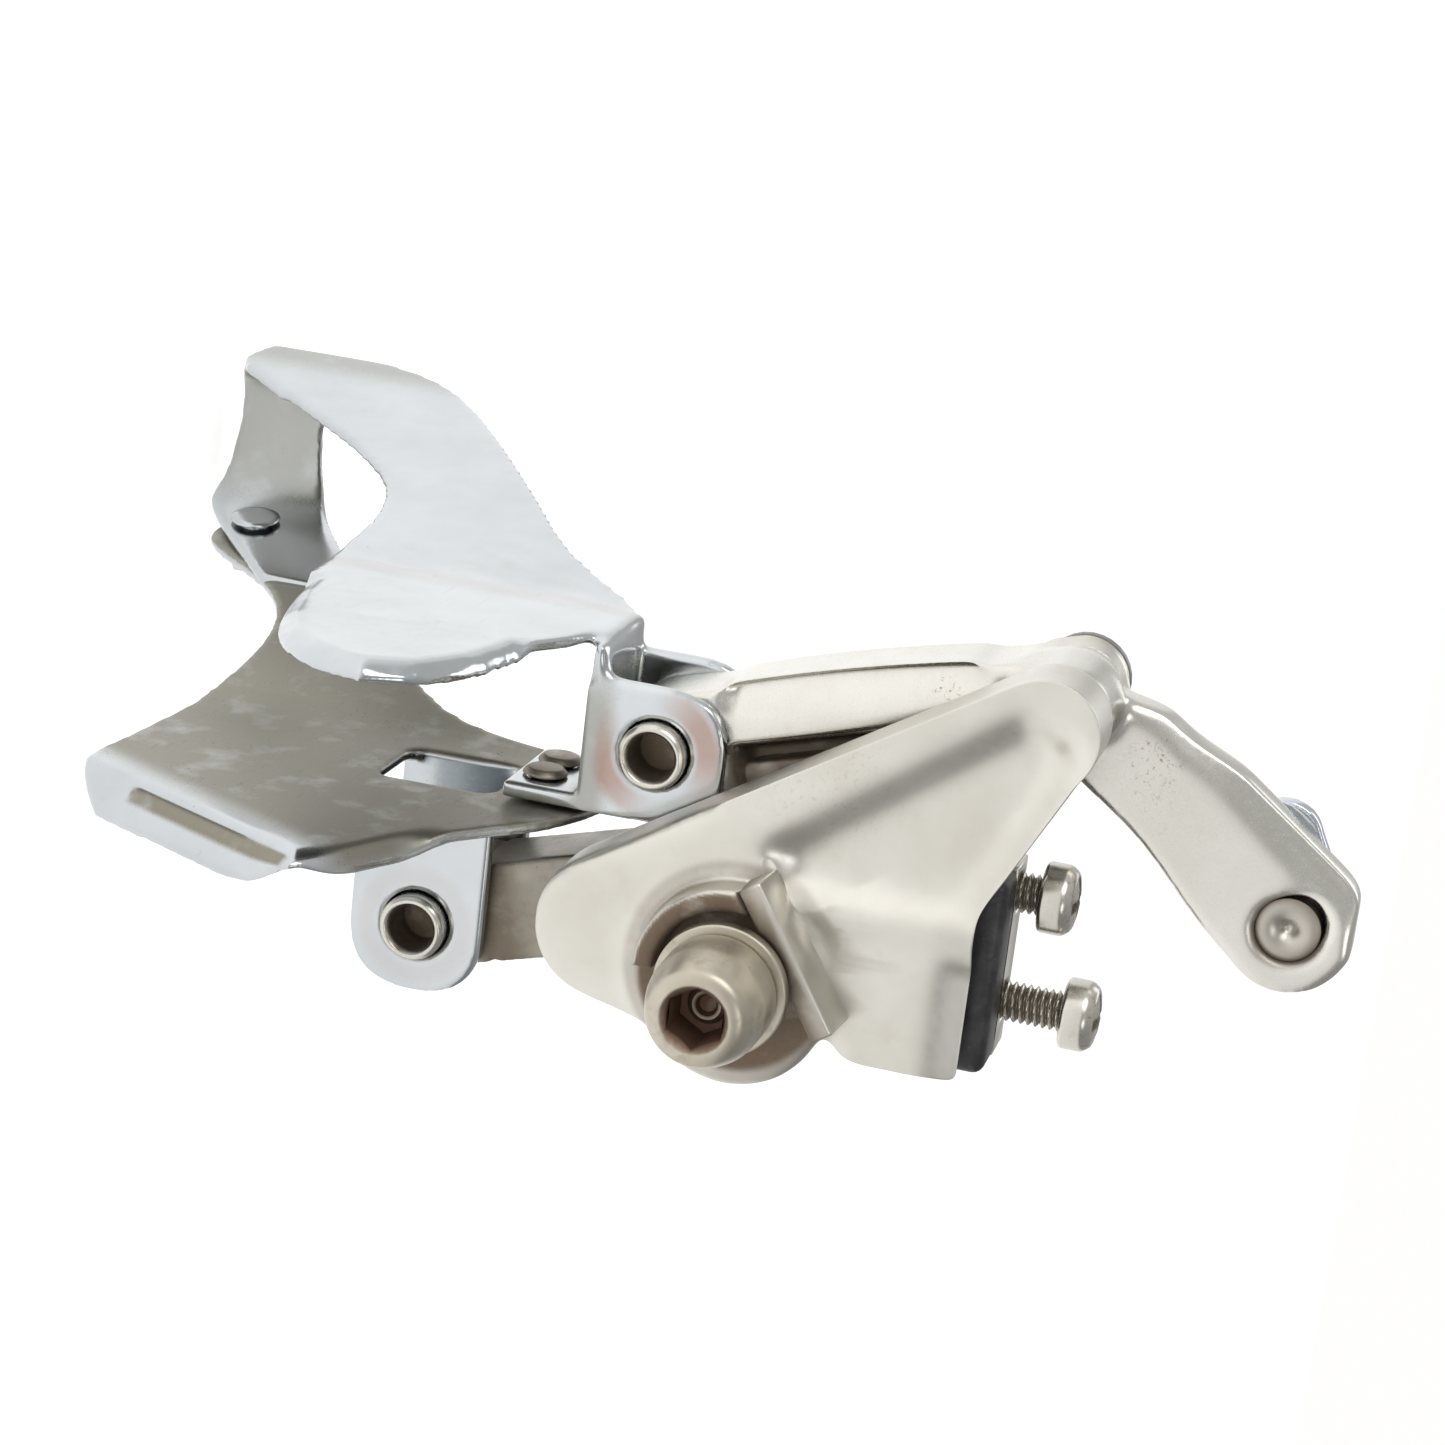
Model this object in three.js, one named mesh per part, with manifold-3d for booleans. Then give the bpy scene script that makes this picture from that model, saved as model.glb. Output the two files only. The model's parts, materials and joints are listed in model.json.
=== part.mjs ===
// Front derailleur for a road bicycle, bolted to a curved tab on the seat tube.
// Millimetres. +X points forwards, +Y to the bicycle's left (towards the frame), +Z up.
// The pivot axes run along X. Shapes are laid out from the outer cage pivot and the whole
// group is then shifted, so that the origin is where the mounting bolt crosses its seat.
import * as THREE from "three";
import { mergeVertices } from "three/addons/utils/BufferGeometryUtils.js";
import Module from "manifold-3d";

const wasm = await Module();
wasm.setup();

// ---- driving dimensions ----------------------------------------------------------------

// Linkage, seen along X: two equal links, the cage and the body make a parallelogram.
const LINK_LENGTH = 38.7;        // pivot to pivot, both links
const LINK_LEAN = 16.2;          // degrees the links lean outwards, going up
const CAGE_PIVOT_SPREAD = 30.6;  // outer cage pivot to inner cage pivot
const CAGE_PIVOT_DROP = 45.5;    // degrees the inner cage pivot lies below the outer one
const LINK_WIDTH = 9.6;          // along the pivots
const BARREL_RADIUS = 5.0;       // round ends of the links
const CAGE_END_RADIUS = 5.2;     // outer link's end at the cage
const BODY_END_RADIUS = 4.7;     // outer link's end at the body
const ARM_LENGTH = 29.6;         // body pivot to the cable anchor
const ARM_RISE = 51;             // degrees of the arm above the horizontal
const ARM_WIDTH = 12.2;
const ARM_THICKNESS = 5.2;
const FULL_SWING = 17;           // degrees from the small ring to the large one

// Pins
const CAGE_PIN_RADIUS = 3.25;
const CAGE_PIN_BORE = 2.25;
const CAGE_PIN_PROUD = 1.5;
const BODY_PIN_RADIUS = 2.7;
const BODY_PIN_PROUD = 2.4;

// Cage
const SHEET = 1.2;               // cage sheet thickness
const EAR = 1.6;                 // ear thickness
const EAR_RADIUS = 6.8;
const BRIDGE_Z = -6.4;           // middle of the bridge over the chain
const OUTER_PLATE_Y = -9.4;
const INNER_PLATE_Y = 7.8;
const TAIL_TURN_X = -15;         // behind this both plates turn outwards
const TAIL_TURN = 0.2;           // sideways run per length of tail
const RIVET_RADIUS = 1.3;
const RIVET_HEAD = 2.2;          // radius
const TAIL_SCREW_RADIUS = 1.5;

// Body casting
const WALL_FRONT = 7.5;          // front wall thickness
const WALL_REAR = 3.6;           // rear wall thickness
const LOBE_RADIUS = 5.2;         // round end over the outer body pivot
const SHIELD_RADIUS = 7.0;       // round end over the inner link
const SHIELD_REACH = 17.0;       // from the inner body pivot down along the link
const BLOCK_LIFT = 13.36;        // limit screw block's underside over the inner body pivot
const BLOCK_HEIGHT = 4.9;
const BLOCK_OUT = 7.05;          // outboard and inboard of the inner body pivot
const BLOCK_IN = 12.75;

// Mount
const BOLT_ACROSS = 6.15;        // inboard of and below the inner body pivot
const BOLT_BELOW = 3.34;
const BOSS_OFFSET = 2.2;         // boss centre, inboard of the bolt
const BOSS_RADIUS = 9.0;
const BOSS_RIM = 3.2;            // rim height above the seat
const SEAT_RADIUS = 6.9;
const HANGER_GAP = 3.6;          // room left under the washer for the frame's tab
const MOUNT_THREAD_RADIUS = 2.5;
const BOLT_HEAD_RADIUS = 5.6;
const BOLT_HEAD_LENGTH = 8.2;
const BOLT_HEX = 5.0;            // across flats
const WASHER_THICKNESS = 1.4;

// Limit screws and their insert
const LIMIT_THREAD_RADIUS = 1.95;
const LIMIT_LENGTH = 13.0;
const LIMIT_HEAD_RADIUS = 3.4;
const LIMIT_HEAD = 3.4;
const LIMIT_X = -3.9;
const LOW_SCREW_ACROSS = 7.75;   // inboard and outboard of the inner body pivot
const HIGH_SCREW_ACROSS = 3.05;
const LOW_PAD = 12.6;            // inner link's stops, above its body pivot
const HIGH_PAD = 7.2;
const STOP_ROOT = 2.4;
const STOP_CLEAR = 2.4;          // between the stops and the outer link
const INSERT_PROUD = 2.0;
const INSERT_REAR = 2.6;          // behind and ahead of the limit screws
const INSERT_FRONT = 8.2;

// Cable anchor
const ANCHOR_RADIUS = 2.85;
const ANCHOR_HEAD_RADIUS = 4.6;
const ANCHOR_HEAD = 4.2;
const CLAMP_THICKNESS = 1.8;
const CABLE = 1.4;               // groove for the cable under the clamp

// Return spring
const SPRING_WIRE = 1.5;
const SPRING_TURNS = 2;
const SPRING_LEG = 16;

// Clearances
const RUN = 0.15;                // radial, turning fits
const FACE = 0.3;                // between faces that lie against each other
const SIDE = 0.5;                // between the cage's ears and the body

const ROUND = 28;                // facets of a full circle
const FINE = 16;                 // facets of a small circle
const ARC = 8;                   // steps along each curve of an outline
const REACH = 400;               // longer than anything in the part

// ---- places that follow from them ------------------------------------------------------

const rad = THREE.MathUtils.degToRad;
const polar = (length, angle) =>
  new THREE.Vector2(length * Math.cos(rad(angle)), length * Math.sin(rad(angle)));

const LINK_RUN = polar(LINK_LENGTH, 90 + LINK_LEAN);
const P_CAGE_OUTER = new THREE.Vector2(0, 0);
const P_CAGE_INNER = polar(CAGE_PIVOT_SPREAD, -CAGE_PIVOT_DROP);
const P_BODY_OUTER = P_CAGE_OUTER.clone().add(LINK_RUN);
const P_BODY_INNER = P_CAGE_INNER.clone().add(LINK_RUN);
const P_ANCHOR = P_BODY_OUTER.clone().add(polar(ARM_LENGTH, ARM_RISE));
const BOLT_Y = P_BODY_INNER.x + BOLT_ACROSS;
const BOLT_Z = P_BODY_INNER.y - BOLT_BELOW;
const BLOCK_BOTTOM = P_BODY_INNER.y + BLOCK_LIFT;
const BLOCK_TOP = BLOCK_BOTTOM + BLOCK_HEIGHT;
const BLOCK_OUTBOARD = P_BODY_INNER.x - BLOCK_OUT;
const BLOCK_INBOARD = P_BODY_INNER.x + BLOCK_IN;
const LOW_SCREW_Y = P_BODY_INNER.x + LOW_SCREW_ACROSS;
const HIGH_SCREW_Y = P_BODY_INNER.x - HIGH_SCREW_ACROSS;

const EAR_FRONT = 0;
const LINK_FRONT = EAR_FRONT - EAR - FACE;
const LINK_REAR = LINK_FRONT - LINK_WIDTH;
const EAR_REAR = LINK_REAR - FACE - EAR;
const WALL_INSIDE = EAR_FRONT + SIDE;
const WALL_FACE = WALL_INSIDE + WALL_FRONT;
const REAR_WALL_INSIDE = LINK_REAR - FACE;
const REAR_WALL_FACE = REAR_WALL_INSIDE - WALL_REAR;
const SEAT_X = WALL_FACE + 0.5;
const BARREL_FRONT = WALL_INSIDE - FACE;
const ARM_FRONT = LIMIT_X - LIMIT_HEAD_RADIUS - SIDE;
const ARM_REAR = ARM_FRONT - ARM_THICKNESS;
const LOW_TIP_Z = P_BODY_INNER.y + LOW_PAD + FACE;
const HIGH_TIP_Z = P_BODY_INNER.y + highPadAtFullSwing() + FACE;
const BRIDGE_LOW = BRIDGE_Z - EAR / 2;

// Height of the high stop over the body pivot where the screw's edge meets it at full swing.
function highPadAtFullSwing() {
  const swing = rad(FULL_SWING);
  const across = HIGH_SCREW_Y - LIMIT_THREAD_RADIUS - P_BODY_INNER.x;
  const along = (across - HIGH_PAD * Math.sin(swing)) / Math.cos(swing);
  return HIGH_PAD * Math.cos(swing) - along * Math.sin(swing);
}

// ---- making solids ---------------------------------------------------------------------

function toSolid(geometry) {
  const bare = geometry.index ? geometry.toNonIndexed() : geometry.clone();
  bare.deleteAttribute("normal");
  bare.deleteAttribute("uv");
  const merged = mergeVertices(bare, 1e-4);
  const corners = [];
  const index = merged.index.array;
  for (let i = 0; i < index.length; i += 3) {
    const [a, b, c] = [index[i], index[i + 1], index[i + 2]];
    if (a !== b && b !== c && c !== a) corners.push(a, b, c);
  }
  return new wasm.Manifold(new wasm.Mesh({
    numProp: 3,
    vertProperties: new Float32Array(merged.attributes.position.array),
    triVerts: new Uint32Array(corners),
  }));
}

function toGeometry(solid) {
  const mesh = solid.getMesh();
  const geometry = new THREE.BufferGeometry();
  geometry.setAttribute("position", new THREE.BufferAttribute(mesh.vertProperties, 3));
  geometry.setIndex(new THREE.BufferAttribute(mesh.triVerts, 1));
  geometry.computeVertexNormals();
  return geometry;
}

function join(first, ...others) {
  return others.reduce((sum, other) => sum.add(other), first);
}

function cut(first, ...others) {
  return others.reduce((rest, other) => rest.subtract(other), first);
}

// Shape coordinates (a, b) lie along (Y, Z); the extrusion runs along X.
const ALONG_X = new THREE.Matrix4().makeBasis(
  new THREE.Vector3(0, 1, 0), new THREE.Vector3(0, 0, 1), new THREE.Vector3(1, 0, 0));

function plateX(shape, x0, x1) {
  const [low, high] = [Math.min(x0, x1), Math.max(x0, x1)];
  const geometry = new THREE.ExtrudeGeometry(shape,
    { depth: high - low, bevelEnabled: false, curveSegments: ARC });
  geometry.applyMatrix4(ALONG_X).translate(low, 0, 0);
  return toSolid(geometry);
}

// Shape coordinates (a, b) lie along (X, Z); the extrusion runs along Y.
function plateY(shape, y0, y1) {
  const geometry = new THREE.ExtrudeGeometry(shape,
    { depth: y1 - y0, bevelEnabled: false, curveSegments: ARC });
  geometry.rotateX(Math.PI / 2).translate(0, y1, 0);
  return toSolid(geometry);
}

function discShape(centre, radius) {
  const shape = new THREE.Shape();
  shape.absarc(centre.x, centre.y, radius, 0, 2 * Math.PI);
  return shape;
}

// A closed outline with each corner rounded: corners are [a, b, radius].
function roundedOutline(corners) {
  const shape = new THREE.Shape();
  const at = (i) => corners[(i + corners.length) % corners.length];
  corners.forEach(([a, b, radius], i) => {
    const here = new THREE.Vector2(a, b);
    const back = new THREE.Vector2(at(i - 1)[0], at(i - 1)[1]).sub(here);
    const on = new THREE.Vector2(at(i + 1)[0], at(i + 1)[1]).sub(here);
    const room = Math.min(back.length(), on.length()) * 0.49;
    const half = Math.abs(back.angleTo(on)) / 2;
    const trim = Math.min(radius / Math.tan(half), room);
    const enter = here.clone().add(back.setLength(trim));
    const leave = here.clone().add(on.setLength(trim));
    if (i === 0) shape.moveTo(enter.x, enter.y);
    else shape.lineTo(enter.x, enter.y);
    shape.quadraticCurveTo(a, b, leave.x, leave.y);
  });
  shape.closePath();
  return shape;
}

// A bar with two round ends between two pivots, in the YZ plane.
function linkShape(from, to, fromRadius, toRadius) {
  const way = Math.atan2(to.y - from.y, to.x - from.x);
  const shape = new THREE.Shape();
  shape.absarc(to.x, to.y, toRadius, way - Math.PI / 2, way + Math.PI / 2);
  shape.absarc(from.x, from.y, fromRadius, way + Math.PI / 2, way + 1.5 * Math.PI);
  shape.closePath();
  return shape;
}

function rodX(centre, radius, x0, x1, facets = ROUND) {
  const [low, high] = [Math.min(x0, x1), Math.max(x0, x1)];
  const geometry = new THREE.CylinderGeometry(radius, radius, high - low, facets);
  geometry.rotateZ(-Math.PI / 2).translate((low + high) / 2, centre.x, centre.y);
  return toSolid(geometry);
}

function rodZ(x, y, radius, z0, z1, facets = FINE) {
  const geometry = new THREE.CylinderGeometry(radius, radius, z1 - z0, facets);
  geometry.rotateX(Math.PI / 2).translate(x, y, (z0 + z1) / 2);
  return toSolid(geometry);
}

function box(x0, x1, y0, y1, z0, z1) {
  const geometry = new THREE.BoxGeometry(x1 - x0, y1 - y0, z1 - z0);
  geometry.translate((x0 + x1) / 2, (y0 + y1) / 2, (z0 + z1) / 2);
  return toSolid(geometry);
}

// A turned piece: profile points are [x, radius], closed on the X axis through centre.
function turnedX(centre, profile, facets = ROUND) {
  const points = profile.map(([x, radius]) => new THREE.Vector2(radius, x));
  const geometry = new THREE.LatheGeometry(points, facets);
  geometry.rotateZ(-Math.PI / 2).translate(0, centre.x, centre.y);
  return toSolid(geometry);
}

// A turned piece whose axis runs squarely through the inner plate's tail; the profile's
// points are [distance inboard of the plate's middle, radius].
function turnedAcrossTail(profile, facets = FINE) {
  const points = profile.map(([along, radius]) => new THREE.Vector2(radius, along));
  const geometry = new THREE.LatheGeometry(points, facets);
  geometry.rotateZ(Math.atan(TAIL_TURN));
  geometry.translate(TAIL_SCREW.x, innerPlateY(TAIL_SCREW.x, TAIL_SCREW.z), TAIL_SCREW.z);
  return toSolid(geometry);
}

// A turned piece along Z: profile points are [z, radius].
function turnedZ(x, y, profile, facets = FINE) {
  const points = profile.map(([z, radius]) => new THREE.Vector2(radius, z));
  const geometry = new THREE.LatheGeometry(points, facets);
  geometry.rotateX(Math.PI / 2).translate(x, y, 0);
  return toSolid(geometry);
}

// A turned piece along Y: profile points are [y, radius].
function turnedY(x, z, profile, facets = FINE) {
  const points = profile.map(([y, radius]) => new THREE.Vector2(radius, y));
  const geometry = new THREE.LatheGeometry(points, facets);
  geometry.translate(x, 0, z);
  return toSolid(geometry);
}

// A piece of bent sheet: middle(u, v) gives its middle surface, u and v from 0 to 1.
function sheetSolid(middle, thickness, uSteps, vSteps) {
  const step = 1e-3;
  const sides = [[], []];
  const clamp = (t) => Math.min(1 - step, Math.max(step, t));
  for (let i = 0; i <= uSteps; i += 1) {
    for (let j = 0; j <= vSteps; j += 1) {
      const [u, v] = [i / uSteps, j / vSteps];
      const [cu, cv] = [clamp(u), clamp(v)];
      const du = middle(cu + step, cv).sub(middle(cu - step, cv));
      const dv = middle(cu, cv + step).sub(middle(cu, cv - step));
      const lift = du.cross(dv).setLength(thickness / 2);
      sides[0].push(middle(u, v).sub(lift));
      sides[1].push(middle(u, v).add(lift));
    }
  }
  const row = vSteps + 1;
  const count = sides[0].length;
  const index = [];
  const quad = (a, b, c, d) => index.push(a, b, c, a, c, d);
  for (let i = 0; i < uSteps; i += 1) {
    for (let j = 0; j < vSteps; j += 1) {
      const [a, b, c, d] = [i * row + j, (i + 1) * row + j, (i + 1) * row + j + 1, i * row + j + 1];
      quad(count + a, count + b, count + c, count + d);
      quad(d, c, b, a);
    }
  }
  const rim = [];
  for (let i = 0; i < uSteps; i += 1) rim.push(i * row);
  for (let j = 0; j < vSteps; j += 1) rim.push(uSteps * row + j);
  for (let i = uSteps; i > 0; i -= 1) rim.push(i * row + vSteps);
  for (let j = vSteps; j > 0; j -= 1) rim.push(j);
  rim.forEach((a, k) => {
    const b = rim[(k + 1) % rim.length];
    quad(a, b, count + b, count + a);
  });
  const geometry = new THREE.BufferGeometry();
  const flat = sides.flat().flatMap((p) => [p.x, p.y, p.z]);
  geometry.setAttribute("position", new THREE.BufferAttribute(new Float32Array(flat), 3));
  geometry.setIndex(index);
  return toSolid(geometry);
}

// ---- links -----------------------------------------------------------------------------

const ROOT_RADIUS = BODY_END_RADIUS + 0.6;
const CHANNEL_WALL = 2.2;        // front and rear walls of the outer link's channel
const CHANNEL_HALF = 2.6;

// The arm after the link has swung, thickened all round by a margin. Its root is stepped
// where it passes in front of the rear wall's lobe.
function armAt(swing, margin) {
  const rise = ARM_RISE - swing;
  const root = P_BODY_OUTER.clone().add(polar(LOBE_RADIUS, rise));
  const end = P_BODY_OUTER.clone().add(polar(ARM_LENGTH, rise));
  const arm = plateX(linkShape(root, end, ROOT_RADIUS + margin, ARM_WIDTH / 2 + margin),
    ARM_REAR - margin, ARM_FRONT + margin);
  return arm.subtract(rodX(P_BODY_OUTER, LOBE_RADIUS + 2 * SIDE - margin,
    ARM_REAR - margin - FACE, LINK_REAR - margin));
}

// Inboard edge of the outer link's bar at a height.
function outerLinkEdge(z) {
  const lean = rad(LINK_LEAN);
  return P_BODY_OUTER.x + (P_BODY_OUTER.y - z) * Math.tan(lean) + BODY_END_RADIUS / Math.cos(lean);
}

// The bar is a channel, open on its inboard side; the arm turns off it at the body pivot
// and steps back, so that it passes behind the limit screws.
function outerLink() {
  const bar = plateX(linkShape(P_CAGE_OUTER, P_BODY_OUTER, CAGE_END_RADIUS, BODY_END_RADIUS),
    LINK_REAR, LINK_FRONT);
  const barrel = rodX(P_BODY_OUTER, BODY_END_RADIUS, LINK_REAR, BARREL_FRONT);
  const kneeEnd = P_BODY_OUTER.clone().add(polar(2 * LOBE_RADIUS, ARM_RISE));
  const knee = plateX(linkShape(P_BODY_OUTER, kneeEnd, BODY_END_RADIUS, ROOT_RADIUS),
    LINK_REAR, ARM_FRONT);
  const inset = polar(CAGE_END_RADIUS + CHANNEL_HALF, 90 + LINK_LEAN);
  const inboard = polar(BARREL_RADIUS, LINK_LEAN);
  const channel = plateX(linkShape(P_CAGE_OUTER.clone().add(inset).add(inboard),
    P_BODY_OUTER.clone().sub(inset).add(inboard), CHANNEL_HALF, CHANNEL_HALF),
  LINK_REAR + CHANNEL_WALL, LINK_FRONT - CHANNEL_WALL);
  return cut(join(bar, barrel, armAt(0, 0), knee), channel,
    rodX(P_CAGE_OUTER, CAGE_PIN_RADIUS + RUN, -REACH, REACH),
    rodX(P_BODY_OUTER, BODY_PIN_RADIUS + RUN, -REACH, REACH),
    rodX(P_ANCHOR, ANCHOR_RADIUS + FACE, -REACH, REACH, FINE));
}

function innerLink() {
  const springRoom = LINK_WIDTH * 0.48;
  const notchX = LINK_REAR + springRoom;
  const bar = plateX(linkShape(P_CAGE_INNER, P_BODY_INNER, BARREL_RADIUS, BARREL_RADIUS),
    LINK_REAR, LINK_FRONT);
  const barrel = rodX(P_BODY_INNER, BARREL_RADIUS, LINK_FRONT - 1, BARREL_FRONT);
  const notch = rodX(P_BODY_INNER, BARREL_RADIUS + SPRING_WIRE + SIDE, LINK_REAR - 1, notchX);
  const legRoom = SPRING_WIRE / 2 + FACE;
  const legNotch = plateX(linkShape(aroundSpring(0, SPRING_MEAN),
    aroundSpring(0, SPRING_MEAN).sub(springHeading(0).multiplyScalar(SPRING_LEG)),
    legRoom, legRoom), LINK_REAR - 1, notchX);
  const shank = LIMIT_THREAD_RADIUS + SIDE;
  const right = LOW_SCREW_Y + shank;
  const step = LOW_SCREW_Y - shank;
  const base = P_BODY_INNER.y;
  const left = outerLinkEdge(base + STOP_ROOT) + STOP_CLEAR;
  const head = plateX(roundedOutline([
    [left, base + STOP_ROOT, 1], [P_BODY_INNER.x, base - 2, 1], [right, base + 4, 1.5],
    [right, base + LOW_PAD, 0.6], [step, base + LOW_PAD, 0.6],
    [step, base + HIGH_PAD, 0.8], [left, base + HIGH_PAD, 0.8]]),
  LIMIT_X - shank, LINK_FRONT);
  return cut(cut(join(bar, barrel), notch, legNotch).add(head),
    rodX(P_CAGE_INNER, CAGE_PIN_RADIUS + RUN, -REACH, REACH),
    rodX(P_BODY_INNER, BODY_PIN_RADIUS + RUN, -REACH, REACH));
}

// ---- pins, clips and the spring --------------------------------------------------------

function cagePin(centre) {
  const [front, rear] = [EAR_FRONT + CAGE_PIN_PROUD, EAR_REAR - CAGE_PIN_PROUD];
  const outside = turnedX(centre, [[rear, 0], [rear, CAGE_PIN_RADIUS - 0.3],
    [rear + 0.3, CAGE_PIN_RADIUS], [front - 0.3, CAGE_PIN_RADIUS],
    [front, CAGE_PIN_RADIUS - 0.3], [front, 0]]);
  return outside.subtract(rodX(centre, CAGE_PIN_BORE, -REACH, REACH));
}

const BODY_PIN_FRONT = WALL_INSIDE + 4;
const BODY_PIN_REAR = REAR_WALL_FACE - BODY_PIN_PROUD;
const CLIP_THICKNESS = 0.8;
const CLIP_GROOVE = 0.6;

function bodyPin(centre) {
  const grooveRear = REAR_WALL_FACE - FACE - CLIP_THICKNESS - FACE;
  const grooveFront = REAR_WALL_FACE - FACE / 2;
  return turnedX(centre, [[BODY_PIN_REAR, 0], [BODY_PIN_REAR, BODY_PIN_RADIUS - 0.4],
    [BODY_PIN_REAR + 0.4, BODY_PIN_RADIUS], [grooveRear, BODY_PIN_RADIUS],
    [grooveRear, BODY_PIN_RADIUS - CLIP_GROOVE], [grooveFront, BODY_PIN_RADIUS - CLIP_GROOVE],
    [grooveFront, BODY_PIN_RADIUS], [BODY_PIN_FRONT, BODY_PIN_RADIUS], [BODY_PIN_FRONT, 0]]);
}

function pinClip(centre) {
  const rear = REAR_WALL_FACE - FACE - CLIP_THICKNESS;
  const disc = rodX(centre, BODY_PIN_RADIUS + 1.6, rear, REAR_WALL_FACE - FACE);
  const bore = rodX(centre, BODY_PIN_RADIUS - CLIP_GROOVE + RUN, -REACH, REACH);
  const mouth = box(rear - 1, REAR_WALL_FACE, centre.x - 1.6, centre.x + 1.6,
    centre.y - REACH, centre.y);
  return cut(disc, bore, mouth);
}

const BUSH_WALL = 0.7;
const SPRING_MEAN = BODY_PIN_RADIUS + RUN + BUSH_WALL + FACE + SPRING_WIRE / 2;
const SPRING_FRONT = LINK_REAR + LINK_WIDTH * 0.48 - FACE - SPRING_WIRE / 2;
const SPRING_BACK = REAR_WALL_INSIDE + FACE + SPRING_WIRE / 2;

function springBush() {
  const front = SPRING_FRONT + SPRING_WIRE / 2;
  const tube = rodX(P_BODY_INNER, BODY_PIN_RADIUS + RUN + BUSH_WALL, REAR_WALL_INSIDE + FACE, front);
  return tube.subtract(rodX(P_BODY_INNER, BODY_PIN_RADIUS + RUN, -REACH, REACH));
}

const SPRING_START = 180 + LINK_LEAN;   // degrees round the pin where the first leg leaves

const aroundSpring = (turns, radius) =>
  P_BODY_INNER.clone().add(polar(radius, SPRING_START - 360 * turns));
const springHeading = (turns) => polar(1, SPRING_START - 360 * turns - 90);

// One leg runs down beside the inner link, the coil winds round the pin, and the other leg
// runs up beside the limit screw block.
class TorsionSpringCurve extends THREE.Curve {
  getPoint(t) {
    const coil = 2 * Math.PI * SPRING_MEAN * SPRING_TURNS;
    const s = t * (coil + 2 * SPRING_LEG) - SPRING_LEG;
    const turns = SPRING_TURNS * THREE.MathUtils.clamp(s / coil, 0, 1);
    const past = s < 0 ? s : Math.max(0, s - coil);
    const x = THREE.MathUtils.lerp(SPRING_FRONT, SPRING_BACK, turns / SPRING_TURNS);
    const place = aroundSpring(turns, SPRING_MEAN).addScaledVector(springHeading(turns), past);
    return new THREE.Vector3(x, place.x, place.y);
  }
}

function returnSpring() {
  const section = discShape(new THREE.Vector2(0, 0), SPRING_WIRE / 2);
  const geometry = new THREE.ExtrudeGeometry(section,
    { steps: 56, curveSegments: 3, extrudePath: new TorsionSpringCurve() });
  return toSolid(geometry);
}

// ---- cage ------------------------------------------------------------------------------

const edge = (points) => new THREE.SplineCurve(points.map(([x, z]) => new THREE.Vector2(x, z)));

// Both plates turn outwards behind the pivots; the turn is eased over a short bend.
function tailShift(x) {
  const past = TAIL_TURN_X - x;
  const bend = 5;
  if (past <= -bend) return 0;
  if (past >= bend) return -TAIL_TURN * past;
  return -TAIL_TURN * (past + bend) ** 2 / (4 * bend);
}

const outerPlateY = (x) => OUTER_PLATE_Y + tailShift(x) - 0.06 * Math.max(0, x - 5);
const innerPlateY = (x, z) => INNER_PLATE_Y + tailShift(x)
  + 0.03 * Math.max(0, BRIDGE_Z - z) * 0.5;

const OUTER_UPPER = edge([[-65.5, -59], [-64.5, -50], [-58, -40.5], [-40, -27.5], [-25, -17.5],
  [-14.5, BRIDGE_Z - 0.6], [-6, BRIDGE_Z], [0, BRIDGE_Z - 2.5], [6, -12.2], [15, -13.4],
  [22, -16], [25, -21]]);
const OUTER_LOWER = edge([[-65.5, -67], [-59, -68], [-50, -57], [-42, -47.5], [-34, -41],
  [-25, -38.5], [-15, -39], [0, -37], [10, -34.5], [17, -31.5], [22, -27.5], [24.5, -23.5]]);

const INNER_UPPER = edge([[-60, -63], [-57, -56.5], [-48, -48], [-38, -41], [-29, -34.5],
  [-21, -26], [-17, -14], [-13.6, BRIDGE_Z + 0.8], [-5, BRIDGE_Z + 0.8], [3, -8.5],
  [13, -16], [30, -24.5]]);
const INNER_LOWER = edge([[-60, -68.5], [-56, -71], [-50, -65], [-44, -57.5], [-37, -53],
  [-28, -51.5], [-18, -52], [-8, -52.5], [0, -53], [6, -53.5], [11, -53], [15, -51]]);

const PLATE_STEPS = 30;          // along each cage plate

function platePoint(lower, upper, side) {
  return (u, v) => {
    const [a, b] = [lower.getPoint(u), upper.getPoint(u)];
    const x = THREE.MathUtils.lerp(a.x, b.x, v);
    const z = THREE.MathUtils.lerp(a.y, b.y, v);
    return new THREE.Vector3(x, side(x, z), z);
  };
}

const WINDOW_HALF = EAR_RADIUS - 0.8;
const WINDOW_ROUND = 2;
const EAR_SPANS = [[EAR_FRONT - EAR, EAR_FRONT], [EAR_REAR, EAR_REAR + EAR]];
const RIVET_INSET = EAR + RIVET_HEAD + SIDE;
const RIVET_XS = [EAR_REAR + RIVET_INSET, EAR_FRONT - RIVET_INSET];
const RIVET_Z = BRIDGE_Z - 5.2;
const TAIL_SCREW = { x: -55.5, z: -63.5 };
const FLANGE_HALF = 4.2;

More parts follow.
